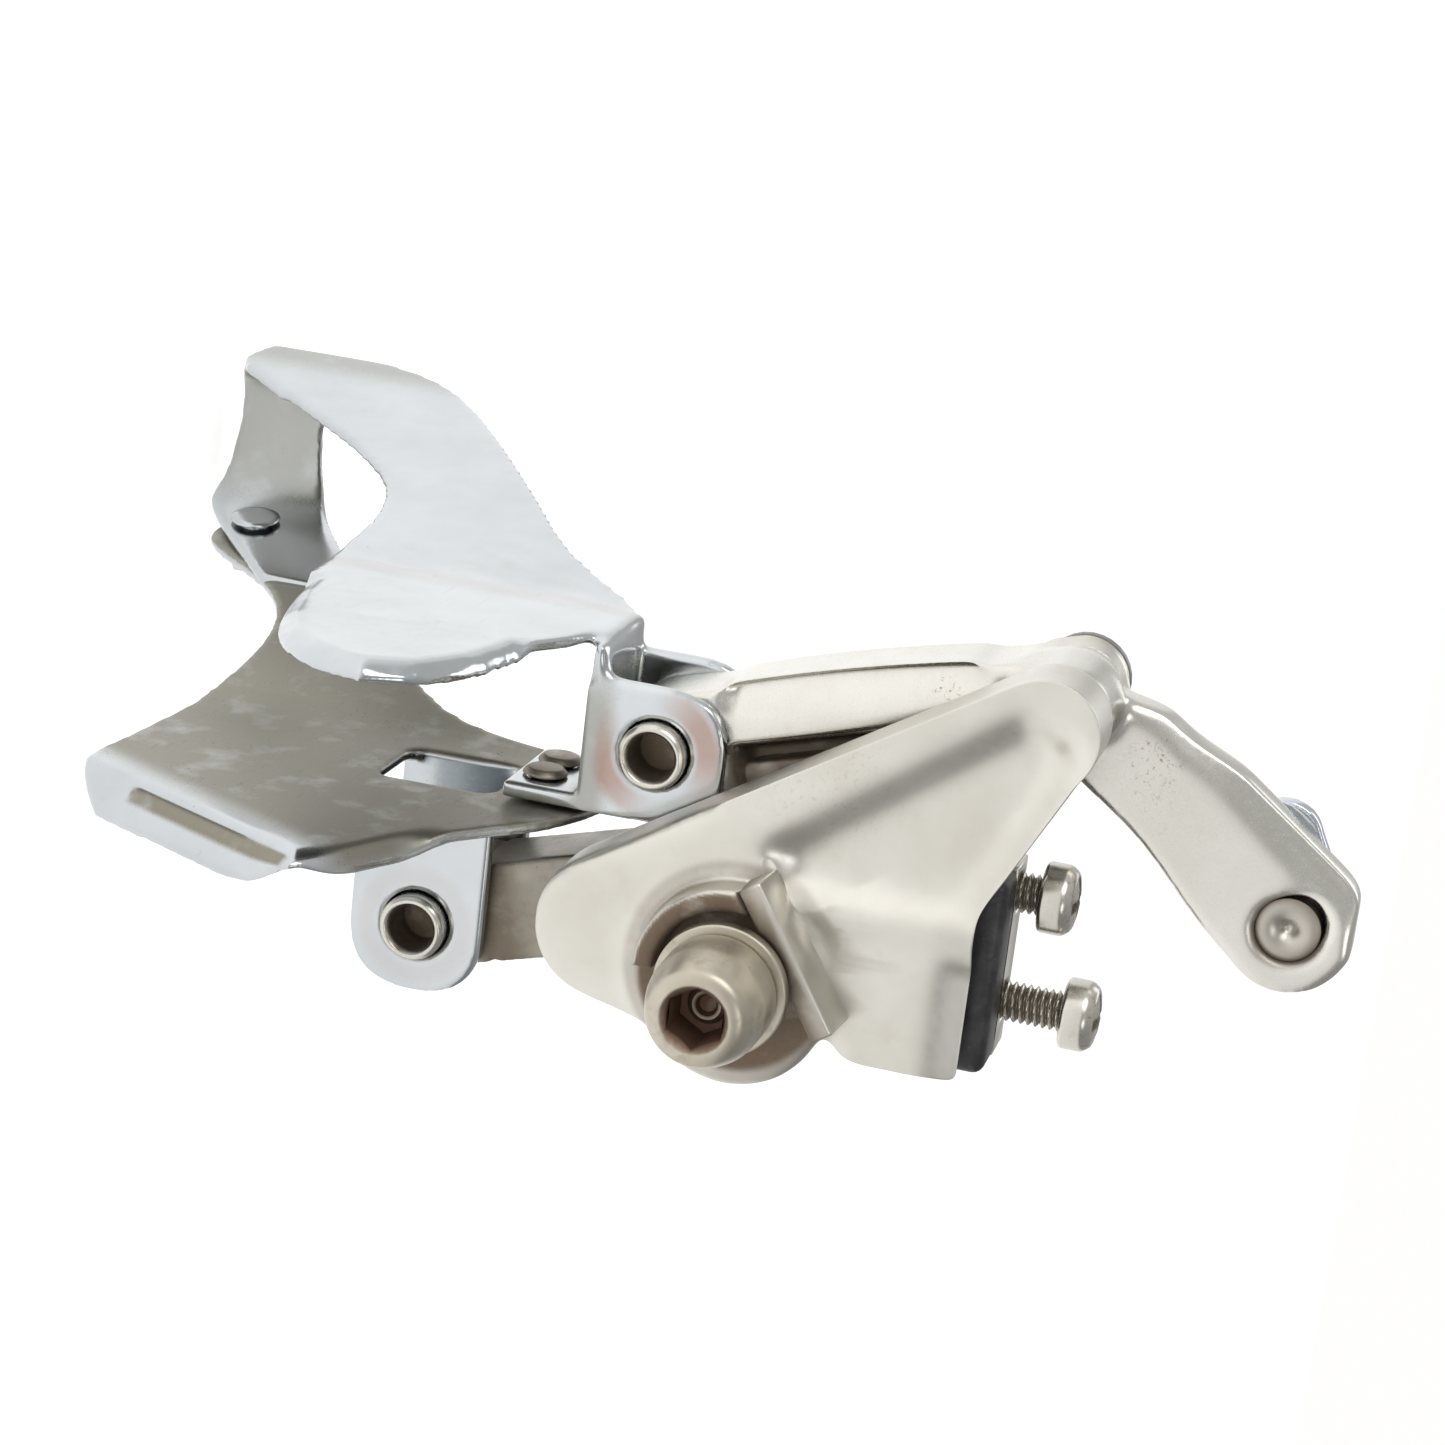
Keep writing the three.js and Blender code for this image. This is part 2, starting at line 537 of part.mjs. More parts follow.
// The bridge folds down into a flange that lies against the inside of the inner plate.
function bridge() {
  const outerY = OUTER_PLATE_Y - SHEET / 2;
  const flangeY = INNER_PLATE_Y - SHEET / 2 - FACE - EAR;
  const top = box(EAR_REAR, EAR_FRONT, outerY + 0.2, flangeY + EAR, BRIDGE_LOW, BRIDGE_LOW + EAR);
  const flange = box(EAR_REAR, EAR_FRONT, flangeY, flangeY + EAR,
    RIVET_Z - RIVET_RADIUS - 1.6, BRIDGE_LOW + EAR);
  const ears = EAR_SPANS.map(([rear, front]) => plateX(roundedOutline([
    [-EAR_RADIUS, BRIDGE_LOW + 0.2, 0.2], [flangeY + EAR, BRIDGE_LOW + 0.2, 0.2],
    [EAR_RADIUS, -1, 1], [EAR_RADIUS, EAR_RADIUS, EAR_RADIUS],
    [-EAR_RADIUS, EAR_RADIUS, EAR_RADIUS]]), rear, front));
  return join(top, flange, ...ears);
}

// The outer plate's tail turns across the cage and ends in a flange on the inner plate.
// The strap leaves the outer plate at STRAP_FROM, sags and bows back, and lands at STRAP_TO.
const STRAP_FROM = { x: -62.5, low: -67, high: -57 };
const STRAP_TO = { x: -59.5, low: -69, high: -59 };
const STRAP_SAG = 1.5;
const STRAP_BOW = 2.5;
const STRAP_SLANT = 3.5;         // its upper edge lies this far ahead of its lower edge
const FLANGE_SETBACK = 1.2;
const FLANGE_CLEAR = FACE + 0.12;

function tailStrap() {
  const lerp = THREE.MathUtils.lerp;
  const startY = outerPlateY(STRAP_FROM.x);
  const endY = innerPlateY(STRAP_TO.x, TAIL_SCREW.z) - SHEET - FACE;
  const middle = (u, v) => {
    const dip = Math.sin(Math.PI * u);
    const low = lerp(STRAP_FROM.low, STRAP_TO.low, u) - STRAP_SAG * dip;
    const high = lerp(STRAP_FROM.high, STRAP_TO.high, u) - STRAP_SAG * dip;
    const back = lerp(STRAP_FROM.x, STRAP_TO.x, u) - STRAP_BOW * dip;
    return new THREE.Vector3(back + STRAP_SLANT * (v - 0.5), lerp(startY, endY, u),
      lerp(low, high, v));
  };
  const flange = (u, v) => {
    const x = lerp(STRAP_TO.x - FLANGE_SETBACK, TAIL_SCREW.x + FLANGE_HALF, u);
    const z = TAIL_SCREW.z + lerp(-FLANGE_HALF, FLANGE_HALF, v) - FLANGE_SETBACK * (1 - u);
    return new THREE.Vector3(x, innerPlateY(x, TAIL_SCREW.z) - SHEET - FLANGE_CLEAR, z);
  };
  return join(sheetSolid(middle, SHEET, 10, 2), sheetSolid(flange, SHEET, 3, 2));
}

function cageOuterPlate() {
  const plate = sheetSolid(platePoint(OUTER_LOWER, OUTER_UPPER, outerPlateY), SHEET, PLATE_STEPS, 3);
  const rivetHoles = RIVET_XS.map((x) => rivetHole(x));
  return cut(join(plate, bridge(), tailStrap()),
    rodX(P_CAGE_OUTER, CAGE_PIN_RADIUS + RUN, -REACH, REACH), ...rivetHoles, tailHole());
}

// A hole along Y through the bridge's flange and the inner plate.
function rivetHole(x) {
  return plateY(discShape(new THREE.Vector2(x, RIVET_Z), RIVET_RADIUS + RUN), 0, REACH);
}

function tailHole() {
  return turnedAcrossTail([[-REACH / 20, 0], [-REACH / 20, TAIL_SCREW_RADIUS + RUN],
    [REACH / 20, TAIL_SCREW_RADIUS + RUN], [REACH / 20, 0]]);
}

function cageInnerPlate() {
  const plate = sheetSolid(platePoint(INNER_LOWER, INNER_UPPER, innerPlateY), SHEET, PLATE_STEPS, 3);
  const window = plateY(roundedOutline([
    [EAR_REAR + EAR, P_CAGE_INNER.y - WINDOW_HALF, WINDOW_ROUND],
    [EAR_FRONT - EAR, P_CAGE_INNER.y - WINDOW_HALF, WINDOW_ROUND],
    [EAR_FRONT - EAR, P_CAGE_INNER.y + WINDOW_HALF, WINDOW_ROUND],
    [EAR_REAR + EAR, P_CAGE_INNER.y + WINDOW_HALF, WINDOW_ROUND]]),
  INNER_PLATE_Y - 3 * SHEET, INNER_PLATE_Y + 3 * SHEET);
  const rootY = INNER_PLATE_Y;
  const ears = EAR_SPANS.map(([rear, front]) => plateX(roundedOutline([
    [rootY, P_CAGE_INNER.y - EAR_RADIUS, 0.2],
    [P_CAGE_INNER.x + EAR_RADIUS, P_CAGE_INNER.y - EAR_RADIUS, EAR_RADIUS],
    [P_CAGE_INNER.x + EAR_RADIUS, P_CAGE_INNER.y + EAR_RADIUS, EAR_RADIUS],
    [rootY, P_CAGE_INNER.y + EAR_RADIUS, 0.2]]), rear, front));
  return cut(join(plate.subtract(window), ...ears),
    rodX(P_CAGE_INNER, CAGE_PIN_RADIUS + RUN, -REACH, REACH),
    ...RIVET_XS.map((x) => rivetHole(x)), tailHole());
}

// ---- cage fasteners --------------------------------------------------------------------

const HEAD_THIN = 0.7;

function bridgeRivet(x) {
  const inner = INNER_PLATE_Y - SHEET / 2 - FACE - EAR - FACE / 2;
  const outer = innerPlateY(x, RIVET_Z) + SHEET / 2 + FACE / 2;
  return turnedY(x, RIVET_Z, [[inner - HEAD_THIN, 0], [inner - HEAD_THIN, RIVET_HEAD - 0.5],
    [inner - 0.2, RIVET_HEAD], [inner, RIVET_HEAD], [inner, RIVET_RADIUS], [outer, RIVET_RADIUS],
    [outer, RIVET_HEAD], [outer + 0.2, RIVET_HEAD], [outer + HEAD_THIN, RIVET_HEAD - 0.5], [outer + HEAD_THIN, 0]]);
}

const STRAP_FACE = -(SHEET / 2 + FACE + SHEET + FACE);
const TAIL_NUT = 2.2;

function tailScrew() {
  const headRadius = TAIL_SCREW_RADIUS + 1.3;
  const end = SHEET / 2 + FACE + TAIL_NUT + 0.8;
  const screw = turnedAcrossTail([[STRAP_FACE - 1.5, 0], [STRAP_FACE - 1.5, headRadius - 0.6],
    [STRAP_FACE - 1, headRadius], [STRAP_FACE, headRadius], [STRAP_FACE, TAIL_SCREW_RADIUS],
    [end, TAIL_SCREW_RADIUS], [end, 0]]);
  return screw;
}

function tailNut() {
  const near = SHEET / 2 + FACE;
  const hex = turnedAcrossTail([[near, 0], [near, TAIL_SCREW_RADIUS + 1.6],
    [near + TAIL_NUT, TAIL_SCREW_RADIUS + 1.6], [near + TAIL_NUT, 0]], 6);
  return hex.subtract(tailHole());
}

// ---- body casting ----------------------------------------------------------------------

const BOLT_CENTRE = new THREE.Vector2(BOLT_Y, BOLT_Z);
const BOSS_CENTRE = new THREE.Vector2(BOLT_Y + BOSS_OFFSET, BOLT_Z);
const SHIELD_END = P_BODY_INNER.clone().sub(polar(SHIELD_REACH, 90 + LINK_LEAN));
const RIM_FACE = SEAT_X + BOSS_RIM;
const SHOULDER = { angle: 33, length: 15.5, thickness: 1.2 };
const BORE_END = WALL_INSIDE + 1;

function frontWall() {
  const wall = (shape, front = WALL_FACE) => plateX(shape, WALL_INSIDE, front);
  const web = roundedOutline([
    [P_BODY_OUTER.x - 2, P_BODY_OUTER.y - 3, 1],
    [P_BODY_OUTER.x + 3.2, P_BODY_OUTER.y + 4, 2],
    [BLOCK_OUTBOARD + 3.5, BLOCK_TOP, 4],
    [BLOCK_INBOARD, BLOCK_TOP, 1.5],
    [BLOCK_INBOARD, BLOCK_TOP - 10, 2],
    [BOLT_Y, BOLT_Z, 1],
    [SHIELD_END.x + 2, SHIELD_END.y, 1]]);
  return join(
    wall(linkShape(SHIELD_END, P_BODY_OUTER, SHIELD_RADIUS, LOBE_RADIUS)),
    wall(linkShape(SHIELD_END, BOSS_CENTRE, SHIELD_RADIUS, SHIELD_RADIUS), WALL_FACE - 0.5),
    wall(web, WALL_FACE - 1));
}

function rearWall() {
  const wall = (shape) => plateX(shape, REAR_WALL_FACE, REAR_WALL_INSIDE);
  const spine = roundedOutline([
    [P_BODY_OUTER.x, P_BODY_OUTER.y - 4, 1],
    [P_BODY_OUTER.x + 1, P_BODY_OUTER.y + 4, 1],
    [P_BODY_OUTER.x + LOBE_RADIUS + 2.2, P_BODY_OUTER.y - 3.56, 3],
    [BLOCK_INBOARD, BLOCK_TOP, 1.5],
    [BLOCK_INBOARD, BLOCK_BOTTOM, 2],
    [P_BODY_INNER.x + 4.5, P_BODY_INNER.y, 1],
    [P_BODY_INNER.x - 4.5, P_BODY_INNER.y, 1],
    [BLOCK_OUTBOARD - 3, BLOCK_BOTTOM - 5, 6]]);
  return join(wall(spine), rodX(P_BODY_OUTER, LOBE_RADIUS, REAR_WALL_FACE, REAR_WALL_INSIDE),
    rodX(P_BODY_INNER, LOBE_RADIUS + 0.6, REAR_WALL_FACE, REAR_WALL_INSIDE));
}

const INSERT = {
  x0: LIMIT_X - INSERT_REAR,
  x1: LIMIT_X + INSERT_FRONT,
  y0: BLOCK_OUTBOARD + 1,
  y1: BLOCK_INBOARD,
  z0: BLOCK_TOP - 1.6,
  z1: BLOCK_TOP + INSERT_PROUD,
};

function bodyCasting() {
  const block = box(REAR_WALL_FACE, WALL_FACE - 1, BLOCK_OUTBOARD, BLOCK_INBOARD,
    BLOCK_BOTTOM, BLOCK_TOP);
  const boss = plateX(linkShape(BOLT_CENTRE, BOSS_CENTRE, BOSS_RADIUS, BOSS_RADIUS),
    WALL_INSIDE, RIM_FACE);
  const seat = rodX(BOLT_CENTRE, SEAT_RADIUS, SEAT_X, REACH);
  const seatMouth = box(SEAT_X, REACH, BOLT_Y, BOLT_Y + REACH, BOLT_Z - REACH, BOLT_Z + REACH);
  const shoulderStart = BOLT_CENTRE.clone()
    .add(polar(SEAT_RADIUS + SHOULDER.thickness / 2, 90 + SHOULDER.angle))
    .add(polar(-SHOULDER.length * 0.55, SHOULDER.angle));
  const shoulderEnd = shoulderStart.clone().add(polar(SHOULDER.length, SHOULDER.angle));
  const shoulder = plateX(linkShape(shoulderStart, shoulderEnd, SHOULDER.thickness / 2,
    SHOULDER.thickness / 2), WALL_INSIDE, RIM_FACE);
  const slot = box(INSERT.x0 - FACE, INSERT.x1 + FACE, INSERT.y0 - FACE, REACH,
    INSERT.z0 - FACE, REACH);
  const screwHoles = [LOW_SCREW_Y, HIGH_SCREW_Y].map((y) =>
    rodZ(LIMIT_X, y, LIMIT_THREAD_RADIUS + RUN, BLOCK_BOTTOM - 1, BLOCK_TOP + 1));
  const pinHoles = [P_BODY_OUTER, P_BODY_INNER].map((centre) =>
    rodX(centre, BODY_PIN_RADIUS + RUN, REAR_WALL_FACE - 1, BODY_PIN_FRONT + FACE));
  return cut(join(cut(join(frontWall(), boss), seat, seatMouth), rearWall(), block, shoulder),
    slot, ...screwHoles, ...pinHoles,
    ...[0, FULL_SWING / 2, FULL_SWING].map((swing) => armAt(swing, FACE)),
    rodX(BOLT_CENTRE, MOUNT_THREAD_RADIUS + RUN, BORE_END, REACH, FINE));
}

function screwInsert() {
  const bar = box(INSERT.x0, INSERT.x1, INSERT.y0, INSERT.y1, INSERT.z0, INSERT.z1);
  return cut(bar, ...[LOW_SCREW_Y, HIGH_SCREW_Y].map((y) =>
    rodZ(LIMIT_X, y, LIMIT_THREAD_RADIUS + RUN, INSERT.z0 - 1, INSERT.z1 + 1)));
}

function limitScrew(y, tip) {
  const under = tip + LIMIT_LENGTH;
  const top = under + LIMIT_HEAD;
  const screw = turnedZ(LIMIT_X, y, [[tip, 0], [tip, LIMIT_THREAD_RADIUS - 0.4],
    [tip + 0.4, LIMIT_THREAD_RADIUS], [under, LIMIT_THREAD_RADIUS], [under, LIMIT_HEAD_RADIUS - 0.3],
    [under + 0.3, LIMIT_HEAD_RADIUS], [top - 1, LIMIT_HEAD_RADIUS], [top - 0.3, LIMIT_HEAD_RADIUS - 0.5],
    [top, LIMIT_HEAD_RADIUS - 1.4], [top, 0]]);
  const half = LIMIT_HEAD_RADIUS - 1.1;
  const slots = [[half, 0.5], [0.5, half]].map(([a, b]) =>
    box(LIMIT_X - a, LIMIT_X + a, y - b, y + b, top - 1.5, top + 1));
  return cut(screw, ...slots);
}

// ---- mounting bolt ---------------------------------------------------------------------

const WASHER_X = SEAT_X + HANGER_GAP;
const HEAD_X = WASHER_X + WASHER_THICKNESS + FACE / 2;

function mountBolt() {
  const end = HEAD_X + BOLT_HEAD_LENGTH;
  const bolt = turnedX(BOLT_CENTRE, [[BORE_END + 1, 0], [BORE_END + 1, MOUNT_THREAD_RADIUS - 0.5],
    [BORE_END + 1.5, MOUNT_THREAD_RADIUS], [HEAD_X, MOUNT_THREAD_RADIUS], [HEAD_X, BOLT_HEAD_RADIUS],
    [HEAD_X + BOLT_HEAD_LENGTH * 0.45, BOLT_HEAD_RADIUS],
    [end - 1, BOLT_HEAD_RADIUS - 0.7], [end, BOLT_HEAD_RADIUS - 1.6], [end, 0]]);
  const hexRadius = BOLT_HEX / Math.sqrt(3);
  const socket = rodX(BOLT_CENTRE, hexRadius, end - BOLT_HEAD_LENGTH * 0.6, end + 1, 6);
  return bolt.subtract(socket);
}

function mountWasher() {
  const ring = rodX(BOLT_CENTRE, BOLT_HEAD_RADIUS + 0.7, WASHER_X, WASHER_X + WASHER_THICKNESS);
  return ring.subtract(rodX(BOLT_CENTRE, MOUNT_THREAD_RADIUS + FACE, -REACH, REACH, FINE));
}

// ---- cable anchor ----------------------------------------------------------------------

const CLAMP_FRONT = ARM_REAR - FACE;
const CLAMP_REAR = CLAMP_FRONT - CLAMP_THICKNESS;

function anchorBolt() {
  const head = CLAMP_REAR - FACE / 2;
  const hexRadius = ANCHOR_HEAD_RADIUS;
  const shank = turnedX(P_ANCHOR, [[head - 0.1, 0], [head - 0.1, ANCHOR_RADIUS],
    [ARM_FRONT - 1, ANCHOR_RADIUS], [ARM_FRONT - 0.6, ANCHOR_RADIUS - 0.4],
    [ARM_FRONT - 0.6, 1.2], [ARM_FRONT - 1.4, 0]], FINE);
  const hex = rodX(P_ANCHOR, hexRadius, head - ANCHOR_HEAD, head, 6);
  return join(shank, hex);
}

// The clamp's upper end reaches past the arm's edge, which keeps it from turning.
function cableClamp() {
  const out = P_ANCHOR.clone().add(polar(ARM_WIDTH * 0.62, 180 + LINK_LEAN));
  const plate = plateX(linkShape(P_ANCHOR, out, ANCHOR_HEAD_RADIUS + 0.6, ANCHOR_HEAD_RADIUS - 0.9),
    CLAMP_REAR, CLAMP_FRONT);
  const hole = rodX(P_ANCHOR, ANCHOR_RADIUS + FACE, -REACH, REACH, FINE);
  const groove = rodZ(CLAMP_FRONT, P_ANCHOR.x - ANCHOR_RADIUS - CABLE, CABLE / 2,
    P_ANCHOR.y - REACH, P_ANCHOR.y + REACH, 12);
  return cut(plate, hole, groove);
}

// ---- materials and the assembly -------------------------------------------------------------------

const MATERIALS = {
  chrome: { color: 0xb9c0c4, roughness: 0.22, metalness: 1.0 },
  alloy: { color: 0xc9c5ba, roughness: 0.38, metalness: 0.9 },
  steel: { color: 0xa7a59f, roughness: 0.35, metalness: 1.0 },
  spring: { color: 0x5d5f63, roughness: 0.4, metalness: 1.0 },
  plastic: { color: 0x1b1c1e, roughness: 0.55, metalness: 0.0 },
};

const derailleur = new THREE.Group();
derailleur.position.set(-SEAT_X, -BOLT_Y, -BOLT_Z);

function add(name, solid, material) {
  const mesh = new THREE.Mesh(toGeometry(solid), new THREE.MeshStandardMaterial(MATERIALS[material]));
  mesh.name = name;
  derailleur.add(mesh);
}

add("body_casting", bodyCasting(), "alloy");
add("screw_insert", screwInsert(), "plastic");
add("low_limit_screw", limitScrew(LOW_SCREW_Y, LOW_TIP_Z), "steel");
add("high_limit_screw", limitScrew(HIGH_SCREW_Y, HIGH_TIP_Z), "steel");
add("mount_bolt", mountBolt(), "steel");
add("mount_washer", mountWasher(), "steel");
add("outer_link", outerLink(), "alloy");
add("inner_link", innerLink(), "steel");
add("pin_cage_outer", cagePin(P_CAGE_OUTER), "steel");
add("pin_cage_inner", cagePin(P_CAGE_INNER), "steel");
add("pin_body_outer", bodyPin(P_BODY_OUTER), "steel");
add("pin_body_inner", bodyPin(P_BODY_INNER), "steel");
add("clip_body_outer", pinClip(P_BODY_OUTER), "spring");
add("clip_body_inner", pinClip(P_BODY_INNER), "spring");
add("spring_bush", springBush(), "plastic");
add("return_spring", returnSpring(), "spring");
add("cage_outer_plate", cageOuterPlate(), "chrome");
add("cage_inner_plate", cageInnerPlate(), "chrome");

RIVET_XS.forEach((x, i) => add(`bridge_rivet_${i + 1}`, bridgeRivet(x), "steel"));
add("cage_tail_screw", tailScrew(), "steel");
add("cage_tail_nut", tailNut(), "steel");
add("cable_anchor_bolt", anchorBolt(), "steel");
add("cable_clamp", cableClamp(), "chrome");

export default derailleur;
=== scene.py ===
import json
import math

import bmesh
import bpy
import numpy as np
from mathutils import Matrix, Vector


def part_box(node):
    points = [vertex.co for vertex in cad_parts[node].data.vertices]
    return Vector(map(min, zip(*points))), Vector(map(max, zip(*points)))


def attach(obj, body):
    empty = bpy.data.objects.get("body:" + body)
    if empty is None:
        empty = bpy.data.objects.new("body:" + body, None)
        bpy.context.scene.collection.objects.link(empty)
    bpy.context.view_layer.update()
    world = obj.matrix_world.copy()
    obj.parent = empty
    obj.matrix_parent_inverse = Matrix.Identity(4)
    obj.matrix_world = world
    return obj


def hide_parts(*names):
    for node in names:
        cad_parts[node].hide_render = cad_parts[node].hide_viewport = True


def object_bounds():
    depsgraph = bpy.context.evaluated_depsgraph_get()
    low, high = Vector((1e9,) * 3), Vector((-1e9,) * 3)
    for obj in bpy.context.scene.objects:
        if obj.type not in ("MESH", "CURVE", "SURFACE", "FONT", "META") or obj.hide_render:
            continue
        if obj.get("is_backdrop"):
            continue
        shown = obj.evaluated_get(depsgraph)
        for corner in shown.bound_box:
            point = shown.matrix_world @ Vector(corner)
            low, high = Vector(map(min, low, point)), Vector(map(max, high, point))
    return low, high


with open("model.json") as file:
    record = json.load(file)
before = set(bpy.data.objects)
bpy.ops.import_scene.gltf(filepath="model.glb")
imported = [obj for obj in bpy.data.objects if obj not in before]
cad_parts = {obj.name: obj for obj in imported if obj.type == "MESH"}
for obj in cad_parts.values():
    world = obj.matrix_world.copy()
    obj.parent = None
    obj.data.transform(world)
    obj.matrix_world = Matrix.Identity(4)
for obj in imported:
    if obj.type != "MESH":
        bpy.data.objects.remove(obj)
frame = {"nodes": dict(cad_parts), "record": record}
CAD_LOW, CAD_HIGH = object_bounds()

MM = 0.001
SCENE = bpy.context.scene
JOINTS = {j["name"]: j for j in frame["record"]["behaviour"]["joints"]}


# ---- places, in millimetres in the row frame -------------------------------------------

def linked(name, data):
    obj = bpy.data.objects.new(name, data)
    SCENE.collection.objects.link(obj)
    return obj


def pivot(joint):
    """A hinge's place in the YZ plane."""
    return np.array(JOINTS[joint]["pos_m"][1:]) / MM


def span(node):
    """The low and high corners of a CAD node's box."""
    low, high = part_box(node)
    return np.array(low) / MM, np.array(high) / MM


P_BODY_OUTER = pivot("outer_link_swing")
P_BODY_INNER = pivot("inner_link_swing")
P_CAGE_OUTER = pivot("cage_swing")
P_CAGE_INNER = P_CAGE_OUTER + P_BODY_INNER - P_BODY_OUTER
CAGE_PIN_PROUD = 1.5
CAGE_PIN_RADIUS, CAGE_PIN_BORE = 3.25, 2.25
BODY_PIN_RADIUS = 2.7
EAR = 1.6
EAR_FRONT = span("pin_cage_outer")[1][0] - CAGE_PIN_PROUD
PIVOT_FRAME = np.array([EAR_FRONT, P_CAGE_OUTER[0], P_CAGE_OUTER[1]])
BODY_VOXEL, SHEET_VOXEL, WIRE_VOXEL = 0.3, 0.27, 0.2
KEPT_SHARE = 0.5                 # of the faces of a large smoothed mesh


# ---- mesh helpers ----------------------------------------------------------------------

def put(name, verts, faces):
    """A new mesh object from millimetre vertices."""
    mesh = bpy.data.meshes.new(name)
    mesh.from_pydata([tuple(v) for v in np.asarray(verts, float) * MM], [], faces)
    mesh.validate()
    return linked(name, mesh)


def bake(obj):
    """Applies the modifiers of an object to its mesh."""
    graph = bpy.context.evaluated_depsgraph_get()
    graph.update()
    mesh = bpy.data.meshes.new_from_object(obj.evaluated_get(graph), depsgraph=graph)
    old = obj.data
    obj.modifiers.clear()
    obj.data = mesh
    if old.users == 0:
        bpy.data.meshes.remove(old)
    return obj


def points(obj):
    co = np.zeros(len(obj.data.vertices) * 3)
    obj.data.vertices.foreach_get("co", co)
    return co.reshape(-1, 3) / MM


def set_points(obj, co):
    obj.data.vertices.foreach_set("co", (co * MM).astype(np.float32).ravel())
    obj.data.update()


def normals(obj):
    no = np.zeros(len(obj.data.vertices) * 3)
    obj.data.vertices.foreach_get("normal", no)
    return no.reshape(-1, 3)


def smooth_shade(obj, angle=None):
    obj.data.polygons.foreach_set("use_smooth", [True] * len(obj.data.polygons))
    if angle is not None:
        obj.data.set_sharp_from_angle(angle=math.radians(angle))
    obj.data.update()
    return obj


def attribute(obj, name, values):
    layer = obj.data.attributes.get(name) or obj.data.attributes.new(name, "FLOAT", "POINT")
    layer.data.foreach_set("value", np.asarray(values, np.float32))


def merged(name, parts):
    verts, faces, start = [], [], 0
    for part in parts:
        verts.append(points(part))
        faces += [[i + start for i in p.vertices] for p in part.data.polygons]
        start += len(part.data.vertices)
        bpy.data.objects.remove(part)
    return put(name, np.vstack(verts), faces)


def remeshed(obj, voxel):
    mod = obj.modifiers.new("remesh", "REMESH")
    mod.mode = "VOXEL"
    mod.voxel_size = voxel * MM
    return bake(obj)


def relax(obj, rounds, weight=None):
    """Evens the surface out; weight says where, from 0 to 1 per point."""
    co = points(obj)
    ends = np.zeros(len(obj.data.edges) * 2, np.int64)
    obj.data.edges.foreach_get("vertices", ends)
    a, b = ends[::2], ends[1::2]
    count = len(co)
    degree = np.maximum(np.bincount(a, minlength=count) + np.bincount(b, minlength=count), 1)
    share = 0.5 if weight is None else 0.5 * np.asarray(weight)[:, None]
    for _ in range(rounds):
        total = np.column_stack([
            np.bincount(a, co[b, i], count) + np.bincount(b, co[a, i], count) for i in range(3)])
        co = co + share * (total / degree[:, None] - co)
    set_points(obj, co)
    return obj


def thinned(obj, share):
    mod = obj.modifiers.new("thin", "DECIMATE")
    mod.ratio = share
    return bake(obj)


def copy_of(name, node):
    return linked(name, frame["nodes"][node].data.copy())


def soft_copy(name, node, voxel, rounds):
    """A finer mesh in the shape of a CAD node, with its edges eased."""
    return relax(remeshed(copy_of(name, node), voxel), rounds)


def step(low, high, value):
    t = np.clip((value - low) / (high - low), 0, 1)
    return t * t * (3 - 2 * t)


def unit(vector):
    return vector / np.linalg.norm(vector)


def line_frame(line):
    """Start, direction and left-hand normal of a line of two points."""
    a, b = np.array(line, float)
    run = unit(b - a)
    return a, run, np.array([-run[1], run[0]])


def tube_faces(rows, n):
    """Faces that join rows + 1 rings of n points each."""
    return [(j * n + k, j * n + (k + 1) % n, (j + 1) * n + (k + 1) % n, (j + 1) * n + k)
            for j in range(rows) for k in range(n)]


def ring_faces(n):
    """Faces of a prism whose two end rings have n points each."""
    return [list(range(n))[::-1], list(range(n, 2 * n))] + tube_faces(1, n)


def rotated(axis_to, obj):
    """Turns an object made along +Z so that it runs along axis_to, and keeps the mesh."""
    turn = Vector((0, 0, 1)).rotation_difference(Vector(axis_to)).to_matrix().to_4x4()
    obj.data.transform(turn)
    return obj


def moved(obj, at):
    obj.data.transform(Matrix.Translation(Vector(tuple(np.asarray(at, float) * MM))))
    return obj


def lathe(name, profile, steps=72):
    """Turns a profile of (height, radius) about Z; profile ends on the axis or closes."""
    verts = []
    for z, r in profile:
        for k in range(steps):
            a = 2 * math.pi * k / steps
            verts.append((r * math.cos(a), r * math.sin(a), z))
    return welded(put(name, verts, tube_faces(len(profile) - 1, steps)))


def welded(obj, distance=1e-6):
    bm = bmesh.new()
    bm.from_mesh(obj.data)
    bmesh.ops.remove_doubles(bm, verts=bm.verts, dist=distance)
    bmesh.ops.dissolve_degenerate(bm, edges=bm.edges, dist=1e-8)
    bmesh.ops.recalc_face_normals(bm, faces=bm.faces)
    bm.to_mesh(obj.data)
    bm.free()
    return obj


def eased(points_in, ease):
    """A profile with each corner cut to a short arc."""
    pts = [np.array(p, float) for p in points_in]
    out = [pts[0]]
    for before, corner, after in zip(pts, pts[1:], pts[2:]):
        a, b = before - corner, after - corner
        la, lb = np.linalg.norm(a), np.linalg.norm(b)
        e = min(ease, la * 0.45, lb * 0.45)
        if e < 0.02:
            out.append(corner)
            continue
        p, q = corner + a / la * e, corner + b / lb * e
        for t in (0, 0.25, 0.5, 0.75, 1):
            out.append((1 - t) ** 2 * p + 2 * t * (1 - t) * corner + t * t * q)
    return out + [pts[-1]]


